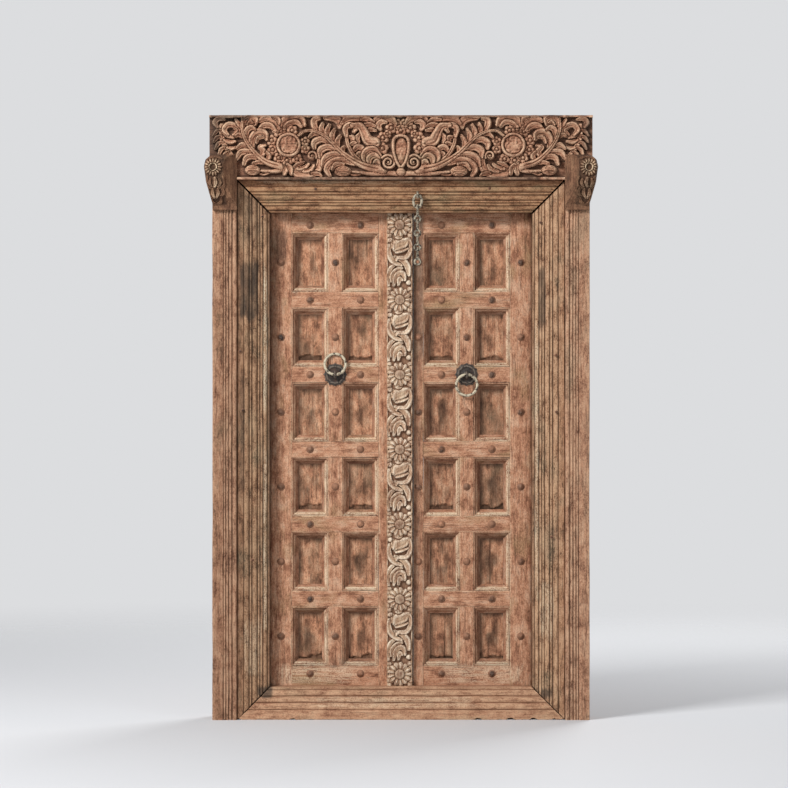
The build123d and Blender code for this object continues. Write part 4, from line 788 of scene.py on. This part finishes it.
def board(centre, low, high, levels, seed, grime):
    """Thin board behind two openings: painted shade along its left and upper edges, a smoky blotch in each
    opening, split, and ragged at its foot.
    """
    x = np.linspace(centre - BOARD_HALF, centre + BOARD_HALF, BOARD_COLS)
    grid_x, grid_z = np.meshgrid(x, np.linspace(low, high, BOARD_ROWS))
    here = np.stack([grid_x, 0 * grid_x, grid_z], -1)
    swell = weather(here, (40, 40, 300), seed) - 0.5
    fine = weather(here, (6, 6, 60), seed + 1) - 0.5
    jag = low + FOOT + FOOT_SWING * (weather(here, (30, 30, 4000), seed + 2) - 0.35)
    jag = jag + FOOT_JAGS * (weather(here, (8, 8, 4000), seed + 4) - 0.5)
    torn = 1 - ease(grid_z, jag - 3.0, jag + 2.5)
    split = ease(weather(here, (5, 5, 240), seed + 3), 0.86, 0.95)
    depth = BOARD_FRONT - 0.4 + 1.6 * swell + 0.8 * fine - FOOT_DEEP * torn - SPLIT_DEEP * split
    crest = ease(fine, 0.2, 0.45) * 0.5 + 0.4 * torn * (torn < 0.9)
    # painted shade: darker along the left edge, a little along the right, and under the top bevel of each
    # opening; the blotch in the middle of each opening is smoke
    painted_shade_and_smoke = 1 - ease(grid_x - x[0], 14, 42) + 0.2 * (1 - ease(x[-1] - grid_x, 14, 22))
    for level in levels:
        below = level + OPENING_TALL / 2 - STICKING - grid_z
        painted_shade_and_smoke = np.maximum(painted_shade_and_smoke, 0.95 * (1 - ease(below, 8, 38)) * (below > -12))
        bell = np.exp(-((grid_x - centre + 4) / 30) ** 2 - ((grid_z - level) / 62) ** 2)
        painted_shade_and_smoke = np.maximum(painted_shade_and_smoke, 0.9 * bell * ease(weather(here, (24, 24, 46), seed + 5), 0.3, 0.75))
    groove = np.clip(0.72 * torn + 0.7 * split + painted_shade_and_smoke + grime, 0, 1)
    return backed(np.stack([grid_x, depth, grid_z], -1), BOARD_BACK, crest, groove)


def node_box(part):
    """Low and high corner of a CAD node in millimetres."""
    return [1000 * np.array(corner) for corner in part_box(part)]


row_levels = [MIDDLE + (2.5 - row) * ROW_PITCH for row in range(ROWS)]
rail_levels = [MIDDLE + (3 - index) * ROW_PITCH for index in range(ROWS + 1)]
for x in (-COLUMNS[1], -COLUMNS[0], *COLUMNS):
    # the right and lower bevels of every opening face the light, and are painted pale in the limewash colour
    # as a painted highlight
    LIME_AND_HIGHLIGHT_MARKS += [(x + 57, z, 7, 96, 0.6) for z in row_levels]
    LIME_AND_HIGHLIGHT_MARKS += [(x, z - 97, 62, 7, 0.75) for z in row_levels]
for side, hand in HANDS:
    body = f"{hand}_leaf"
    seed = 100 + 40 * side
    outward, inward = (RIGHTWARD, LEFTWARD) if side > 0 else (LEFTWARD, RIGHTWARD)
    inner, outer = (side * column for column in COLUMNS)
    ends = (lambda u, d: LEAF_LOW, lambda u, d: LEAF_HIGH)
    section = plank_section(LEAF_EDGE - HANGING_CLEAR, 0.0, HEEL)
    runs = [swept(section, ends, STEP, lambda u, d, a: (side * (HANGING_CLEAR + u), d, a), LEAF_WEAR, seed)]
    runs += [edge_run((outer, z), outward, seed + i) for i, z in enumerate(row_levels)]
    timber(f"{hand}_hanging_stile_worn", runs, lattice_upright, body, [f"{hand}_hanging_stile"])
    section = plank_section(MEETING_CLEAR + MEETING_REACH[hand], 0.0)
    runs = [swept(section, ends, STEP, lambda u, d, a: (side * (MEETING_CLEAR - u), d, a),
                  LEAF_WEAR, seed + 1)]
    runs += [edge_run((inner, z), inward, seed + 7 + i) for i, z in enumerate(row_levels)]
    if side < 0:
        # a thin tongue in the joint, level with the pins, keeps out the draught
        (near, far), (back, front) = TONGUE
        section = [(near, back, 0, 1), (near, front, 0, 1), (far, front, 0, 1), (far, back, 0, 1)]
        ends = (lambda u, d: LEAF_LOW + TONGUE_SHORT, lambda u, d: LEAF_HIGH - TONGUE_SHORT)
        runs.append(swept(section, ends, TONGUE_STEP, lambda u, d, a: (u, d, a), chips=0.0, seed=5))
    timber(f"{hand}_meeting_stile_worn", runs, lattice_upright, body, [f"{hand}_meeting_stile"])
    ends = (lambda u, d: MEETING_CLEAR - HAIR, lambda u, d: HANGING_CLEAR + HAIR)
    for index, level in enumerate(rail_levels):
        low = LEAF_LOW if index == ROWS else level - RAIL / 2
        high = LEAF_HIGH if index == 0 else level + RAIL / 2
        part = f"{hand}_bar_{index // 2 + 1}" if index % 2 else f"{hand}_rail_{index // 2 + 1}"
        section = plank_section(high - low, BOARD_FRONT + 0.2 if index % 2 else 0.0)
        runs = [swept(section, ends, LEAF_STEP, lambda u, d, a: (side * a, d, low + u), LEAF_WEAR,
                      seed + 20 + index)]
        for x in (inner, outer) if index > 0 else ():
            runs.append(edge_run((x, row_levels[index - 1]), DOWNWARD, seed + 30 + index))
        for x in (inner, outer) if index < ROWS else ():
            runs.append(edge_run((x, row_levels[index]), UPWARD, seed + 40 + index))
        timber(f"{part}_worn", runs, lattice_level, body, [part])
    for index in range(ROWS // 2):
        levels = row_levels[2 * index:2 * index + 2]
        runs = []
        for z in levels:
            ends = (lambda u, d: z - OPENING_TALL / 2 - HAIR, lambda u, d: z + OPENING_TALL / 2 + HAIR)
            runs.append(swept(plank_section(MUNTIN, 0.0), ends, LEAF_STEP,
                              lambda u, d, a: (side * (MUNTIN_NEAR + u), d, a),
                              LEAF_WEAR, seed + 50 + int(z) % 7))
            runs.append(edge_run((inner, z), outward, seed + 60 + index))
            runs.append(edge_run((outer, z), inward, seed + 64 + index))
        part = f"{hand}_muntin_{index + 1}"
        timber(f"{part}_worn", runs, lattice_upright, body, [part])
        for label, centre in (("inner", inner), ("outer", outer)):
            part = f"{hand}_{label}_board_{index + 1}"
            low, high = node_box(part)
            run = board(centre, low[2], high[2], levels, seed + 70 + index + int(abs(centre)),
                        BOARD_GRIME[hand][index])
            timber(f"{part}_worn", [run], board_wood, body, [part])

# Cover strip: a pale board nailed over the joint of the leaves, carved with seven flowers and a scroll
# between each pair. It was limed once, so it is pale; its crests are painted cream as painted highlight and
# its cuts brown as painted shade.
STRIP_LOW, STRIP_HIGH, STRIP_MIDDLE, STRIP_HALF, STRIP_RIM = 112.1, 1778.9, -5.0, 45.0, 41.5
STRIP_BOARD, STRIP_RELIEF, SCROLL_FULLNESS = 14.0, 13.0, 1.18
STRIP_PETALS, STRIP_FLOWER, STRIP_PETAL, STRIP_BUTTON, STRIP_BUD, STRIP_BERRY = 13, 29, 14.5, 17.5, 14, 9
STRIP_COLS, STRIP_ROWS = 56, 1010
strip = Ground(np.linspace(-STRIP_HALF, STRIP_HALF, STRIP_COLS),
               np.linspace(STRIP_LOW, STRIP_HIGH, STRIP_ROWS))
SCROLL = (
    # (line as (x, z) from the lower flower, half widths, height share), the deeper ones first
    (((-38, 48), (-41, 80), (-33, 108), (-18, 122)), (4, 6, 7, 5), 0.85),
    (((-30, 64), (-27, 88), (-10, 105), (8, 112)), (4, 6, 7, 5), 0.9),
    (((-20, 50), (-14, 80), (0, 94), (14, 90), (19, 70)), (4, 7, 8, 8, 5), 0.92),
    (((-4, 52), (0, 74), (9, 70)), (4, 7, 5), 0.95),
    (((-36, 192), (-38, 168), (-30, 144), (-14, 128), (6, 121)), (5, 8, 9, 8, 5), 0.9),
    (((-16, 150), (12, 138), (29, 116), (33, 88)), (5, 9, 10, 6), 0.88),
    (((33, 216), (40, 194), (37, 168), (22, 148), (-6, 147), (-12, 138)), (4, 6, 7, 7, 6, 4), 0.88),
    (((-24, 208), (-20, 188), (-12, 168)), (5, 10, 5), 0.78),
    (((30, 214), (14, 200), (-8, 192), (-18, 178)), (4, 15, 17, 6), 0.95),
    (((30, 180), (10, 172), (-12, 166)), (3, 5, 4), 0.8),
)
# small leaves in the corners round each flower
CORNERS = ((-36, -36), (36, -36), (-36, 36), (36, 36), (-40, -22), (40, 22), (-40, 22), (40, -22))
for k, level in enumerate(rail_levels):
    if k < ROWS:
        base = level - ROW_PITCH
        for line, widths, share in SCROLL:
            strip.ribbon([(x, base + z) for x, z in line], [SCROLL_FULLNESS * w for w in widths],
                         share * STRIP_RELIEF, vein=0.2, moat=1.2, wall=0.62, roll=0.12)
        strip.boss((32, base + 60), STRIP_BERRY, 0.85 * STRIP_RELIEF)
        strip.boss((-33, base + 210), STRIP_BERRY, 0.8 * STRIP_RELIEF)
        strip.boss((-3, base + 224), STRIP_BUD, 0.9 * STRIP_RELIEF, ribs=3)
    for ox, oz in CORNERS:
        strip.boss((ox, level + oz), STRIP_BERRY, 0.62 * STRIP_RELIEF, ribs=3)
    for j in range(STRIP_PETALS):
        angle = 2 * pi * j / STRIP_PETALS
        petal = (STRIP_FLOWER * cos(angle), level + STRIP_FLOWER * sin(angle))
        strip.boss(petal, STRIP_PETAL, 0.85 * STRIP_RELIEF, turn=angle, squash=0.6, ribs=2)
    strip.boss((1, level), STRIP_BUTTON, STRIP_RELIEF, wall=0.6, rough=2.2, seed=k)
rim = np.abs(strip.x) > STRIP_RIM
strip.height[:, rim] = np.maximum(strip.height[:, rim], 0.35 * STRIP_RELIEF)
from_flower = (strip.z - MIDDLE + ROW_PITCH / 2) % ROW_PITCH - ROW_PITCH / 2
stain = 0.85 * np.exp(-((strip.x[None, :] - 1) ** 2 + from_flower[:, None] ** 2) / 190)
STRIP_TONES = ("#9A735B", "#C29D7E", "#D8BA9A", "#B78A6C", 0.42, "#6C4A36", "#FAEED8")
strip_wood = aged_wood("limed carved hardwood, grain upright", 2, *STRIP_TONES, seed=9)
carved_board("cover_strip_carved", strip, LEAF + 0.2, LEAF + STRIP_BOARD, (STRIP_MIDDLE, 0, 0), strip_wood,
             "left_leaf", ["cover_strip"], seed=60, roughen=0.5, stain=stain)

# Studs: forged nails with domed heads, driven into the rails, muntins and stiles round every opening.
# Some are bare dark iron, others so dusted over that they take the colour of the wood.
STUD_COLUMNS, MEETING_STUDS = (232.0, 423.25), 61.5
# a stud's head in metres: hammered facets to the metre, and the spread and thickness of the flat dark seat
# round it, a rust stain and a painted shadow
FACETS, STAIN_AND_SHADOW_SEAT_SPREAD, STAIN_AND_SHADOW_SEAT_THICK = 150.0, 1.08, 0.0016
# millimetres across a mark, and noise settings: hammer marks, rust blooms, pits in the scale
IRON_NOISES = ((7, {"Detail": 2.0}), (20, {"Detail": 5.0, "Roughness": 0.65}), (2.2, {"Detail": 2.0}))


def forged_iron(name, dark, main, worn, rust, dust, seed):
    """Wrought iron: hammered black scale, brown rust in patches, bright where hands and weather rub it."""
    material, tree, surface, coords = plain_finish(name)
    hammer, bloom, pits = (node(tree, "ShaderNodeTexNoise", {"Vector": coords},
                                {"Scale": 1000 / across, **values}).outputs["Fac"]
                           for across, values in IRON_NOISES)
    bloom.node.inputs["Distortion"].default_value = seed
    tone = node(tree, "ShaderNodeValToRGB", {"Fac": hammer}, ramp=((0.35, dark), (0.66, main))).outputs[0]
    rusted = node(tree, "ShaderNodeMapRange", {"Value": bloom},
                  {"From Min": 0.48, "From Max": 0.62, "To Max": 0.85}).outputs[0]
    crest, dusty = (node(tree, "ShaderNodeAttribute", attribute_name=label).outputs["Fac"]
                    for label in ("crest", "dust"))
    rubbed = node(tree, "ShaderNodeMath", {0: crest, 1: hammer}, operation="MULTIPLY").outputs[0]
    rubbed = node(tree, "ShaderNodeMapRange", {"Value": rubbed},
                  {"From Min": 0.26, "From Max": 0.4, "To Max": 0.92}).outputs[0]
    for factor, colour in ((rusted, rust), (rubbed, worn), (dusty, dust)):
        tone = node(tree, "ShaderNodeMix", {"Factor": factor, 6: tone}, {7: linear(colour)},
                    data_type="RGBA").outputs[2]
    surface.inputs["Metallic"].default_value = 0.35
    rough = node(tree, "ShaderNodeMapRange", {"Value": bloom}, {"To Min": 0.5, "To Max": 0.9}).outputs[0]
    bump = node(tree, "ShaderNodeBump", {"Height": hammer}, {"Strength": 0.6, "Distance": 0.002}).outputs[0]
    bump = node(tree, "ShaderNodeBump", {"Height": pits, "Normal": bump},
                {"Strength": 0.4, "Distance": 0.0008}).outputs[0]
    for label, socket in (("Base Color", tone), ("Roughness", rough), ("Normal", bump)):
        tree.links.new(socket, surface.inputs[label])
    return material


# tones of an iron: scale in the hammer marks and between, rubbed metal, rust, dust
STUD_TONES = ("#2A211D", "#5C4C42", "#9A8878", "#6A4734", "#BC8868")
stud_iron = forged_iron("forged iron nail heads, dusty", *STUD_TONES, seed=0.4)


def nail_tree(material):
    """Geometry Nodes: a hammered dome on every point, turned and dusted at random, each on a flat dark seat
    of rust stain and painted shadow, as one mesh.
    """
    tree = bpy.data.node_groups.new("driven_nails", "GeometryNodeTree")
    for label, kind in (("Points", "Geometry"), ("Radius", "Float"), ("Rise", "Float"), ("Dust", "Float"),
                        ("Seed", "Int")):
        tree.interface.new_socket(label, in_out="INPUT", socket_type=f"NodeSocket{kind}")
    tree.interface.new_socket("Nails", in_out="OUTPUT", socket_type="NodeSocketGeometry")
    given = node(tree, "NodeGroupInput").outputs
    ball = node(tree, "GeometryNodeMeshIcoSphere", {"Radius": given["Radius"]},
                {"Subdivisions": 3}).outputs["Mesh"]
    where = node(tree, "GeometryNodeInputPosition").outputs[0]
    facet = node(tree, "ShaderNodeTexVoronoi", {"Vector": where}, {"Scale": FACETS},
                 feature="F1").outputs["Distance"]
    lift = node(tree, "ShaderNodeMath", {0: facet}, {1: -0.5}, operation="MULTIPLY").outputs[0]
    push = node(tree, "ShaderNodeVectorMath", {0: where, "Scale": lift}, operation="SCALE").outputs[0]
    ball = node(tree, "GeometryNodeSetPosition", {"Geometry": ball, "Offset": push}).outputs[0]
    flat = node(tree, "ShaderNodeMath", {0: given["Rise"], 1: given["Radius"]}, operation="DIVIDE").outputs[0]
    size = node(tree, "ShaderNodeCombineXYZ", {"Y": flat}, {"X": 1.0, "Z": 1.0}).outputs[0]
    turn = node(tree, "FunctionNodeRandomValue", {8: given["Seed"]}, {2: 0.0, 3: 6.28},
                data_type="FLOAT").outputs[1]
    spin = node(tree, "ShaderNodeCombineXYZ", {"Y": turn}).outputs[0]
    heads = node(tree, "GeometryNodeInstanceOnPoints",
                 {"Points": given["Points"], "Instance": ball, "Scale": size, "Rotation": spin}).outputs[0]
    amount = node(tree, "FunctionNodeRandomValue", {3: given["Dust"], 8: given["Seed"]}, {2: 0.0},
                  data_type="FLOAT").outputs[1]
    heads = node(tree, "GeometryNodeStoreNamedAttribute", {"Geometry": heads, "Value": amount},
                 {"Name": "dust"}, data_type="FLOAT", domain="INSTANCE").outputs[0]
    # the dark seat round each head: rust stain and painted shadow
    wide = node(tree, "ShaderNodeMath", {0: given["Radius"]}, {1: STAIN_AND_SHADOW_SEAT_SPREAD},
                operation="MULTIPLY").outputs[0]
    stain_and_shadow_disc = node(tree, "GeometryNodeMeshCylinder", {"Radius": wide},
                {"Vertices": 20, "Depth": STAIN_AND_SHADOW_SEAT_THICK}).outputs["Mesh"]
    stain_and_shadow_disc = node(tree, "GeometryNodeTransform", {"Geometry": stain_and_shadow_disc}, {"Rotation": (pi / 2, 0, 0)}).outputs[0]
    stain_and_shadow_seats = node(tree, "GeometryNodeInstanceOnPoints",
                 {"Points": given["Points"], "Instance": stain_and_shadow_disc, "Rotation": spin}).outputs[0]
    stain_and_shadow_seats = node(tree, "GeometryNodeStoreNamedAttribute", {"Geometry": stain_and_shadow_seats}, {"Name": "dust", "Value": 0.5},
                 data_type="FLOAT", domain="INSTANCE").outputs[0]
    heads = node(tree, "GeometryNodeJoinGeometry", {"Geometry": heads}).outputs[0]
    tree.links.new(stain_and_shadow_seats, heads.node.inputs["Geometry"])
    heads = node(tree, "GeometryNodeRealizeInstances", {"Geometry": heads}).outputs[0]
    heads = node(tree, "GeometryNodeSetMaterial", {"Geometry": heads}, {"Material": material}).outputs[0]
    node(tree, "NodeGroupOutput", {"Nails": heads})
    return tree


def driven_nails(name, tree, places, radius, rise, dust, seed, body):
    """Nail heads at (x, depth, z) places, made a plain mesh."""
    points = bpy.data.meshes.new(name)
    points.from_pydata([(x / 1000, (FRONT - d) / 1000, z / 1000) for x, d, z in places], [], [])
    holder = bpy.data.objects.new(name, points)
    bpy.context.scene.collection.objects.link(holder)
    grown = holder.modifiers.new("nails", "NODES")
    grown.node_group = tree
    sockets = {item.name: item.identifier for item in tree.interface.items_tree if item.in_out == "INPUT"}
    for label, value in (("Radius", radius / 1000), ("Rise", rise / 1000), ("Dust", dust), ("Seed", seed)):
        grown[sockets[label]] = value
    made = bpy.data.meshes.new_from_object(holder.evaluated_get(bpy.context.evaluated_depsgraph_get()))
    holder.modifiers.clear()
    holder.data = made
    made.shade_smooth()
    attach(holder, body)
    return holder


# small nails in jambs and head: x, depth, z
FRAME_NAILS = [(-563, 129, 1291), (-554, 129, 1085), (542, 129, 1277), (544, 129, 1078), (490, 112, 1743),
               (-486, 118, 1764), (-300, 124, 1860), (310, 124, 1862), (-520, 129, 560), (528, 129, 640)]
stud_tree = nail_tree(stud_iron)
for side, hand in HANDS:
    places = [(side * x, LEAF, z) for z in rail_levels for x in COLUMNS]
    places += [(side * x, LEAF, z) for z in row_levels for x in STUD_COLUMNS]
    places += [(MEETING_STUDS, LEAF, z) for z in row_levels] if side > 0 else []
    studs = driven_nails(f"{hand}_studs_forged", stud_tree, places, radius=12.6, rise=7.0, dust=0.75,
                         seed=3 + side, body=f"{hand}_leaf")
    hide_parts(f"{hand}_studs")
driven_nails("frame_nails", stud_tree, FRAME_NAILS, radius=5.0, rise=7.0, dust=0.3, seed=9, body="frame")

# Ring pulls: a scalloped iron plate on each leaf, an eye through its middle and a knobbed ring to swing on
# it. The rings are rubbed bright where hands take them; the plates are black with scale.
RING_TONES = ("#2A2521", "#4E453D", "#CBBFA6", "#5A4232", "#8A6A52")
ring_iron = forged_iron("wrought iron, hand-rubbed", *RING_TONES, seed=0.7)
PLATE_TONES = ("#1E1A18", "#3A332E", "#6E6358", "#4A352A", "#8A6A52")
plate_iron = forged_iron("wrought iron plate, black scale", *PLATE_TONES, seed=0.9)


def iron_piece(name, parts, material, body, nodes):
    """One iron piece from (points in mm, faces, crest) parts."""
    points, faces, (crest,) = joined(parts)
    solid(name, points, faces, {"crest": crest}, 50, material, body, nodes)


def bar_along(line, bar, sides=14, closed=True, knobs=0, knob=0.0, twist=0.0, squareness=0.0):
    """Round or squarish bar along a line of (x, depth, z) places, with forged knobs and a twist."""
    line = np.array(line, float)
    count = len(line)
    ahead = (np.roll(line, -1, 0) - np.roll(line, 1, 0)) if closed else np.gradient(line, axis=0)
    ahead /= np.linalg.norm(ahead, axis=1)[:, None]
    flat = np.linalg.svd(line - line.mean(0))[2][2] if closed else np.array([1.0, 0, 0])
    across = np.cross(ahead, flat)
    across /= np.linalg.norm(across, axis=1)[:, None]
    up = np.cross(across, ahead)
    share = np.arange(count) / count
    size = bar * (1 + knob * np.cos(2 * pi * knobs * share))
    angle = np.linspace(0, 2 * pi, sides, endpoint=False)
    swell = 1 + squareness * (np.abs(np.cos(2 * angle)) - 0.5)
    turn = angle[None, :] + twist * share[:, None]
    ring = size[:, None] * swell[None, :]
    spoke = np.cos(turn)[..., None] * across[:, None, :] + np.sin(turn)[..., None] * up[:, None, :]
    points = line[:, None, :] + ring[..., None] * spoke
    faces = []
    for j in range(count if closed else count - 1):
        for i in range(sides):
            a, b = j * sides, (j + 1) % count * sides
            faces.append([a + i, a + (i + 1) % sides, b + (i + 1) % sides, b + i])
    if not closed:
        faces += [list(range(sides)), list(range((count - 1) * sides, count * sides))]
    crest = np.repeat(0.8 + 0.15 * np.cos(2 * pi * knobs * share) if knobs else np.full(count, 0.68), sides)
    return points.reshape(-1, 3), faces, crest


def loop(centre, radius, plane, stretch=1.0, count=48):
    """Round or drawn-out loop about a centre, in the plane of two axes (0 x, 1 depth, 2 z)."""
    line = np.tile(np.array(centre, float), (count, 1))
    for k in range(count):
        angle = 2 * pi * k / count
        line[k, plane[0]] += radius * cos(angle)
        line[k, plane[1]] += radius * stretch * sin(angle)
    return line


# rows of a plate from its edge to its middle: share of the radius, rise over the plate, rubbed or not
PLATE_ROWS = ((0.95, 0.0, 0.8), (0.84, 0.0, 0.1), (0.78, 2.2, 0.8), (0.68, 2.4, 0.8), (0.6, 0.6, 0.1),
              (0.44, 0.8, 0.1), (0.36, 3.6, 0.1), (0.22, 4.8, 0.8), (0.08, 5.0, 0.1))


def scalloped(centre, depth, radius, thick, lobes):
    """Round plate with a scalloped edge, a beaded rim and a raised middle."""
    levels = [(1.0, 0.2, 0.1), (1.0, thick * 0.8, 0.1)]
    levels += [(share, thick + rise, rubbed) for share, rise, rubbed in PLATE_ROWS]
    count = lobes * 10
    points, faces, crest = [], [], []
    for row, (share, rise, rubbed) in enumerate(levels):
        for k in range(count):
            angle = 2 * pi * k / count
            wave = abs(sin(angle * lobes / 2))
            reach = radius * share * (1 - 0.1 * wave ** 0.7 if share > 0.9 else 1 - 0.05 * wave * share)
            points.append((centre[0] + reach * cos(angle), depth + rise, centre[1] + reach * sin(angle)))
            crest.append(rubbed)
            if row:
                a, b = (row - 1) * count, row * count
                faces.append([a + k, a + (k + 1) % count, b + (k + 1) % count, b + k])
    faces += [list(range(count)), list(range((len(levels) - 1) * count, len(levels) * count))]
    return points, faces, crest


PULL_X, PULL_Z, PLATE, PLATE_THICK, PLATE_LOBES = 232.0, 1209.5, 42.0, 3.0, 12
EYE_DEPTH, EYE, EYE_BAR, EYE_SHANK, RING, RING_BAR, FORGED = 61.9, 9.9, 4.0, 3.6, 37.0, 5.0, 0.97
for side, hand in HANDS:
    x = side * PULL_X
    plate = scalloped((x, PULL_Z), LEAF, PLATE, PLATE_THICK, PLATE_LOBES)
    iron_piece(f"{hand}_ring_plate_forged", [plate], plate_iron, f"{hand}_leaf", [f"{hand}_ring_plate"])
    shank = [(x, d, PULL_Z) for d in (13.0, 30.0, 47.0, 52.5)]
    eye = [bar_along(loop((x, EYE_DEPTH, PULL_Z), EYE, (1, 2)), EYE_BAR),
           bar_along(shank, EYE_SHANK, closed=False, squareness=0.25)]
    iron_piece(f"{hand}_ring_eye_forged", eye, plate_iron, f"{hand}_leaf", [f"{hand}_ring_eye"])
    low, high = node_box(f"{hand}_ring")
    circle = loop((x, 0, 0), RING, (0, 2), count=120)
    # at rest the left ring leans and the right one hangs straight
    lean = np.arcsin(np.clip((high[1] - low[1] - 2 * RING_BAR) / (2 * RING), 0, 1)) if side < 0 else 0.0
    circle[:, 1] = FRONT - (low[1] + high[1]) / 2 - circle[:, 2] * sin(lean)
    circle[:, 2] = (low[2] + high[2]) / 2 + circle[:, 2] * cos(lean)
    ring = bar_along(circle, RING_BAR * FORGED, knobs=9, knob=0.05)
    iron_piece(f"{hand}_ring_forged", [ring], ring_iron, f"{hand}_ring", [f"{hand}_ring"])

# Chain: a staple in the head, a long ring and four twisted links, left to hang beside the strip.
# Each link is a bar drawn out to two eyes set crosswise; the links are rubbed where they bear.
CHAIN_X, CHAIN_DEPTH, CHAIN_Z, CHAIN_BAR, STAPLE_SHANK = 58.0, 133.4, 1838.0, 5.0, 3.4
LINK_EYE, LINK_EYE_BAR, LINK_SHANK, LINK_END, LINK_NECK = 10.0, 3.9, 4.3, 13.5, 8.5
CHAIN_TONES = ("#26211D", "#4C443D", "#AFA48F", "#54402F", "#8A6A52")
chain_iron = forged_iron("wrought iron chain, rubbed", *CHAIN_TONES, seed=0.5)
shank = [(CHAIN_X, d, CHAIN_Z) for d in (82.0, 100.0, 118.0, 124.0)]
staple = [bar_along(loop((CHAIN_X, CHAIN_DEPTH, CHAIN_Z), EYE, (1, 2)), EYE_BAR),
          bar_along(shank, STAPLE_SHANK, closed=False, squareness=0.25)]
iron_piece("chain_staple_forged", staple, chain_iron, "frame", ["chain_staple"])
low, high = node_box("chain_ring")
half_wide, half_tall = ((high[axis] - low[axis]) / 2 - CHAIN_BAR for axis in (0, 2))
oval = loop((CHAIN_X, CHAIN_DEPTH, (low[2] + high[2]) / 2), half_wide, (0, 2), half_tall / half_wide, 80)
long_ring = bar_along(oval, CHAIN_BAR * FORGED, knobs=7, knob=0.03)
iron_piece("chain_ring_forged", [long_ring], chain_iron, "chain_ring", ["chain_ring"])
for index in range(1, 5):
    part = f"chain_link_{index}"
    low, high = node_box(part)
    top, foot = high[2] - LINK_END, low[2] + LINK_END
    shank = [(CHAIN_X, CHAIN_DEPTH, z) for z in np.linspace(foot + LINK_NECK, top - LINK_NECK, 24)]
    link = [bar_along(loop((CHAIN_X, CHAIN_DEPTH, z), LINK_EYE, plane, count=36), LINK_EYE_BAR)
            for z, plane in ((top, (1, 2)), (foot, (0, 2)))]
    link.append(bar_along(shank, LINK_SHANK, closed=False, twist=5.0, squareness=0.4))
    iron_piece(f"{part}_forged", link, chain_iron, part, [part])

# Stage: a round pale floor that fades into an even background, so the door can be seen from every side.
# One soft key stands high on the left, as the sun stood on this door, with a weak fill from the right and a
# lamp behind. Lengths are metres here.
BACKGROUND, PAPER, SKY, SKY_STRENGTH = "#DCDDDF", "#D3D4D6", (0.93, 0.95, 1.0, 1.0), 0.27
FLOOR, FLOOR_SIDES, FADE_FROM, FADE_TO = 7, 64, 1.6, 6.0
floor_mesh = bpy.data.meshes.new("studio_floor")
turns = [2 * pi * k / FLOOR_SIDES for k in range(FLOOR_SIDES)]
corners = [(FLOOR * cos(turn), FLOOR * sin(turn), 0.0) for turn in turns]
floor_mesh.from_pydata(corners, [], [list(range(FLOOR_SIDES))])
floor = bpy.data.objects.new("studio_floor", floor_mesh)
bpy.context.scene.collection.objects.link(floor)
# matt paper: even and pale, with no shine to draw the eye
paper, tree, surface, coords = plain_finish("pale paper")
for label, value in (("Base Color", linear(PAPER)), ("Roughness", 0.9), ("Specular IOR Level", 0.1)):
    surface.inputs[label].default_value = value
reach = node(tree, "ShaderNodeVectorMath", {0: coords}, operation="LENGTH").outputs["Value"]
fade = node(tree, "ShaderNodeMapRange", {"Value": reach}, {"From Min": FADE_FROM, "From Max": FADE_TO},
            interpolation_type="SMOOTHSTEP").outputs[0]
clear = node(tree, "ShaderNodeBsdfTransparent").outputs[0]
mixed = node(tree, "ShaderNodeMixShader", {0: fade, 1: surface.outputs[0], 2: clear}).outputs[0]
tree.links.new(mixed, tree.nodes["Material Output"].inputs["Surface"])
floor_mesh.materials.append(paper)
# lamps: place, aim, size, power
LAMPS = {"key": ((-3.6, -4.0, 4.6), (0, 0, 1.1), 2.0, 432), "fill": ((4.2, -6.0, 2.4), (0, 0, 1.0), 3.0, 70),
         "back": ((2.6, 4.6, 4.2), (0, 0, 1.0), 3.0, 240)}
for name, (place, aim, size, power) in LAMPS.items():
    lamp = bpy.data.lights.new(name, "AREA")
    lamp.size, lamp.energy = size, power
    holder = bpy.data.objects.new(name, lamp)
    holder.location = place
    holder.rotation_euler = (Vector(aim) - Vector(place)).to_track_quat("-Z", "Y").to_euler()
    bpy.context.scene.collection.objects.link(holder)
world = bpy.data.worlds.new("studio")
world.use_nodes = True
tree = world.node_tree
light = tree.nodes["Background"]
light.inputs["Color"].default_value = SKY
light.inputs["Strength"].default_value = SKY_STRENGTH
seen = node(tree, "ShaderNodeLightPath").outputs
shown = seen["Is Camera Ray"]
for ray in ("Is Glossy Ray", "Is Transmission Ray"):
    shown = node(tree, "ShaderNodeMath", {0: shown, 1: seen[ray]}, operation="MAXIMUM").outputs[0]
pale = node(tree, "ShaderNodeBackground", (), {"Color": linear(BACKGROUND), "Strength": 1.0}).outputs[0]
mixed = node(tree, "ShaderNodeMixShader", {0: shown, 1: light.outputs[0], 2: pale}).outputs[0]
tree.links.new(mixed, tree.nodes["World Output"].inputs["Surface"])
bpy.context.scene.world = world
SENSOR, VIEW_AWAY, VIEW_WIDE, VIEW_FROM = 36.0, 10.0, 2.758, (-0.0245, -10.03, 1.141)
lens = bpy.data.cameras.new("camera")
lens.sensor_width, lens.lens = SENSOR, SENSOR * VIEW_AWAY / VIEW_WIDE
camera = bpy.data.objects.new("camera", lens)
camera.location = VIEW_FROM
camera.rotation_euler = (pi / 2, 0, 0)
bpy.context.scene.collection.objects.link(camera)
bpy.context.scene.camera = camera
bpy.context.scene.view_settings.view_transform = "Standard"
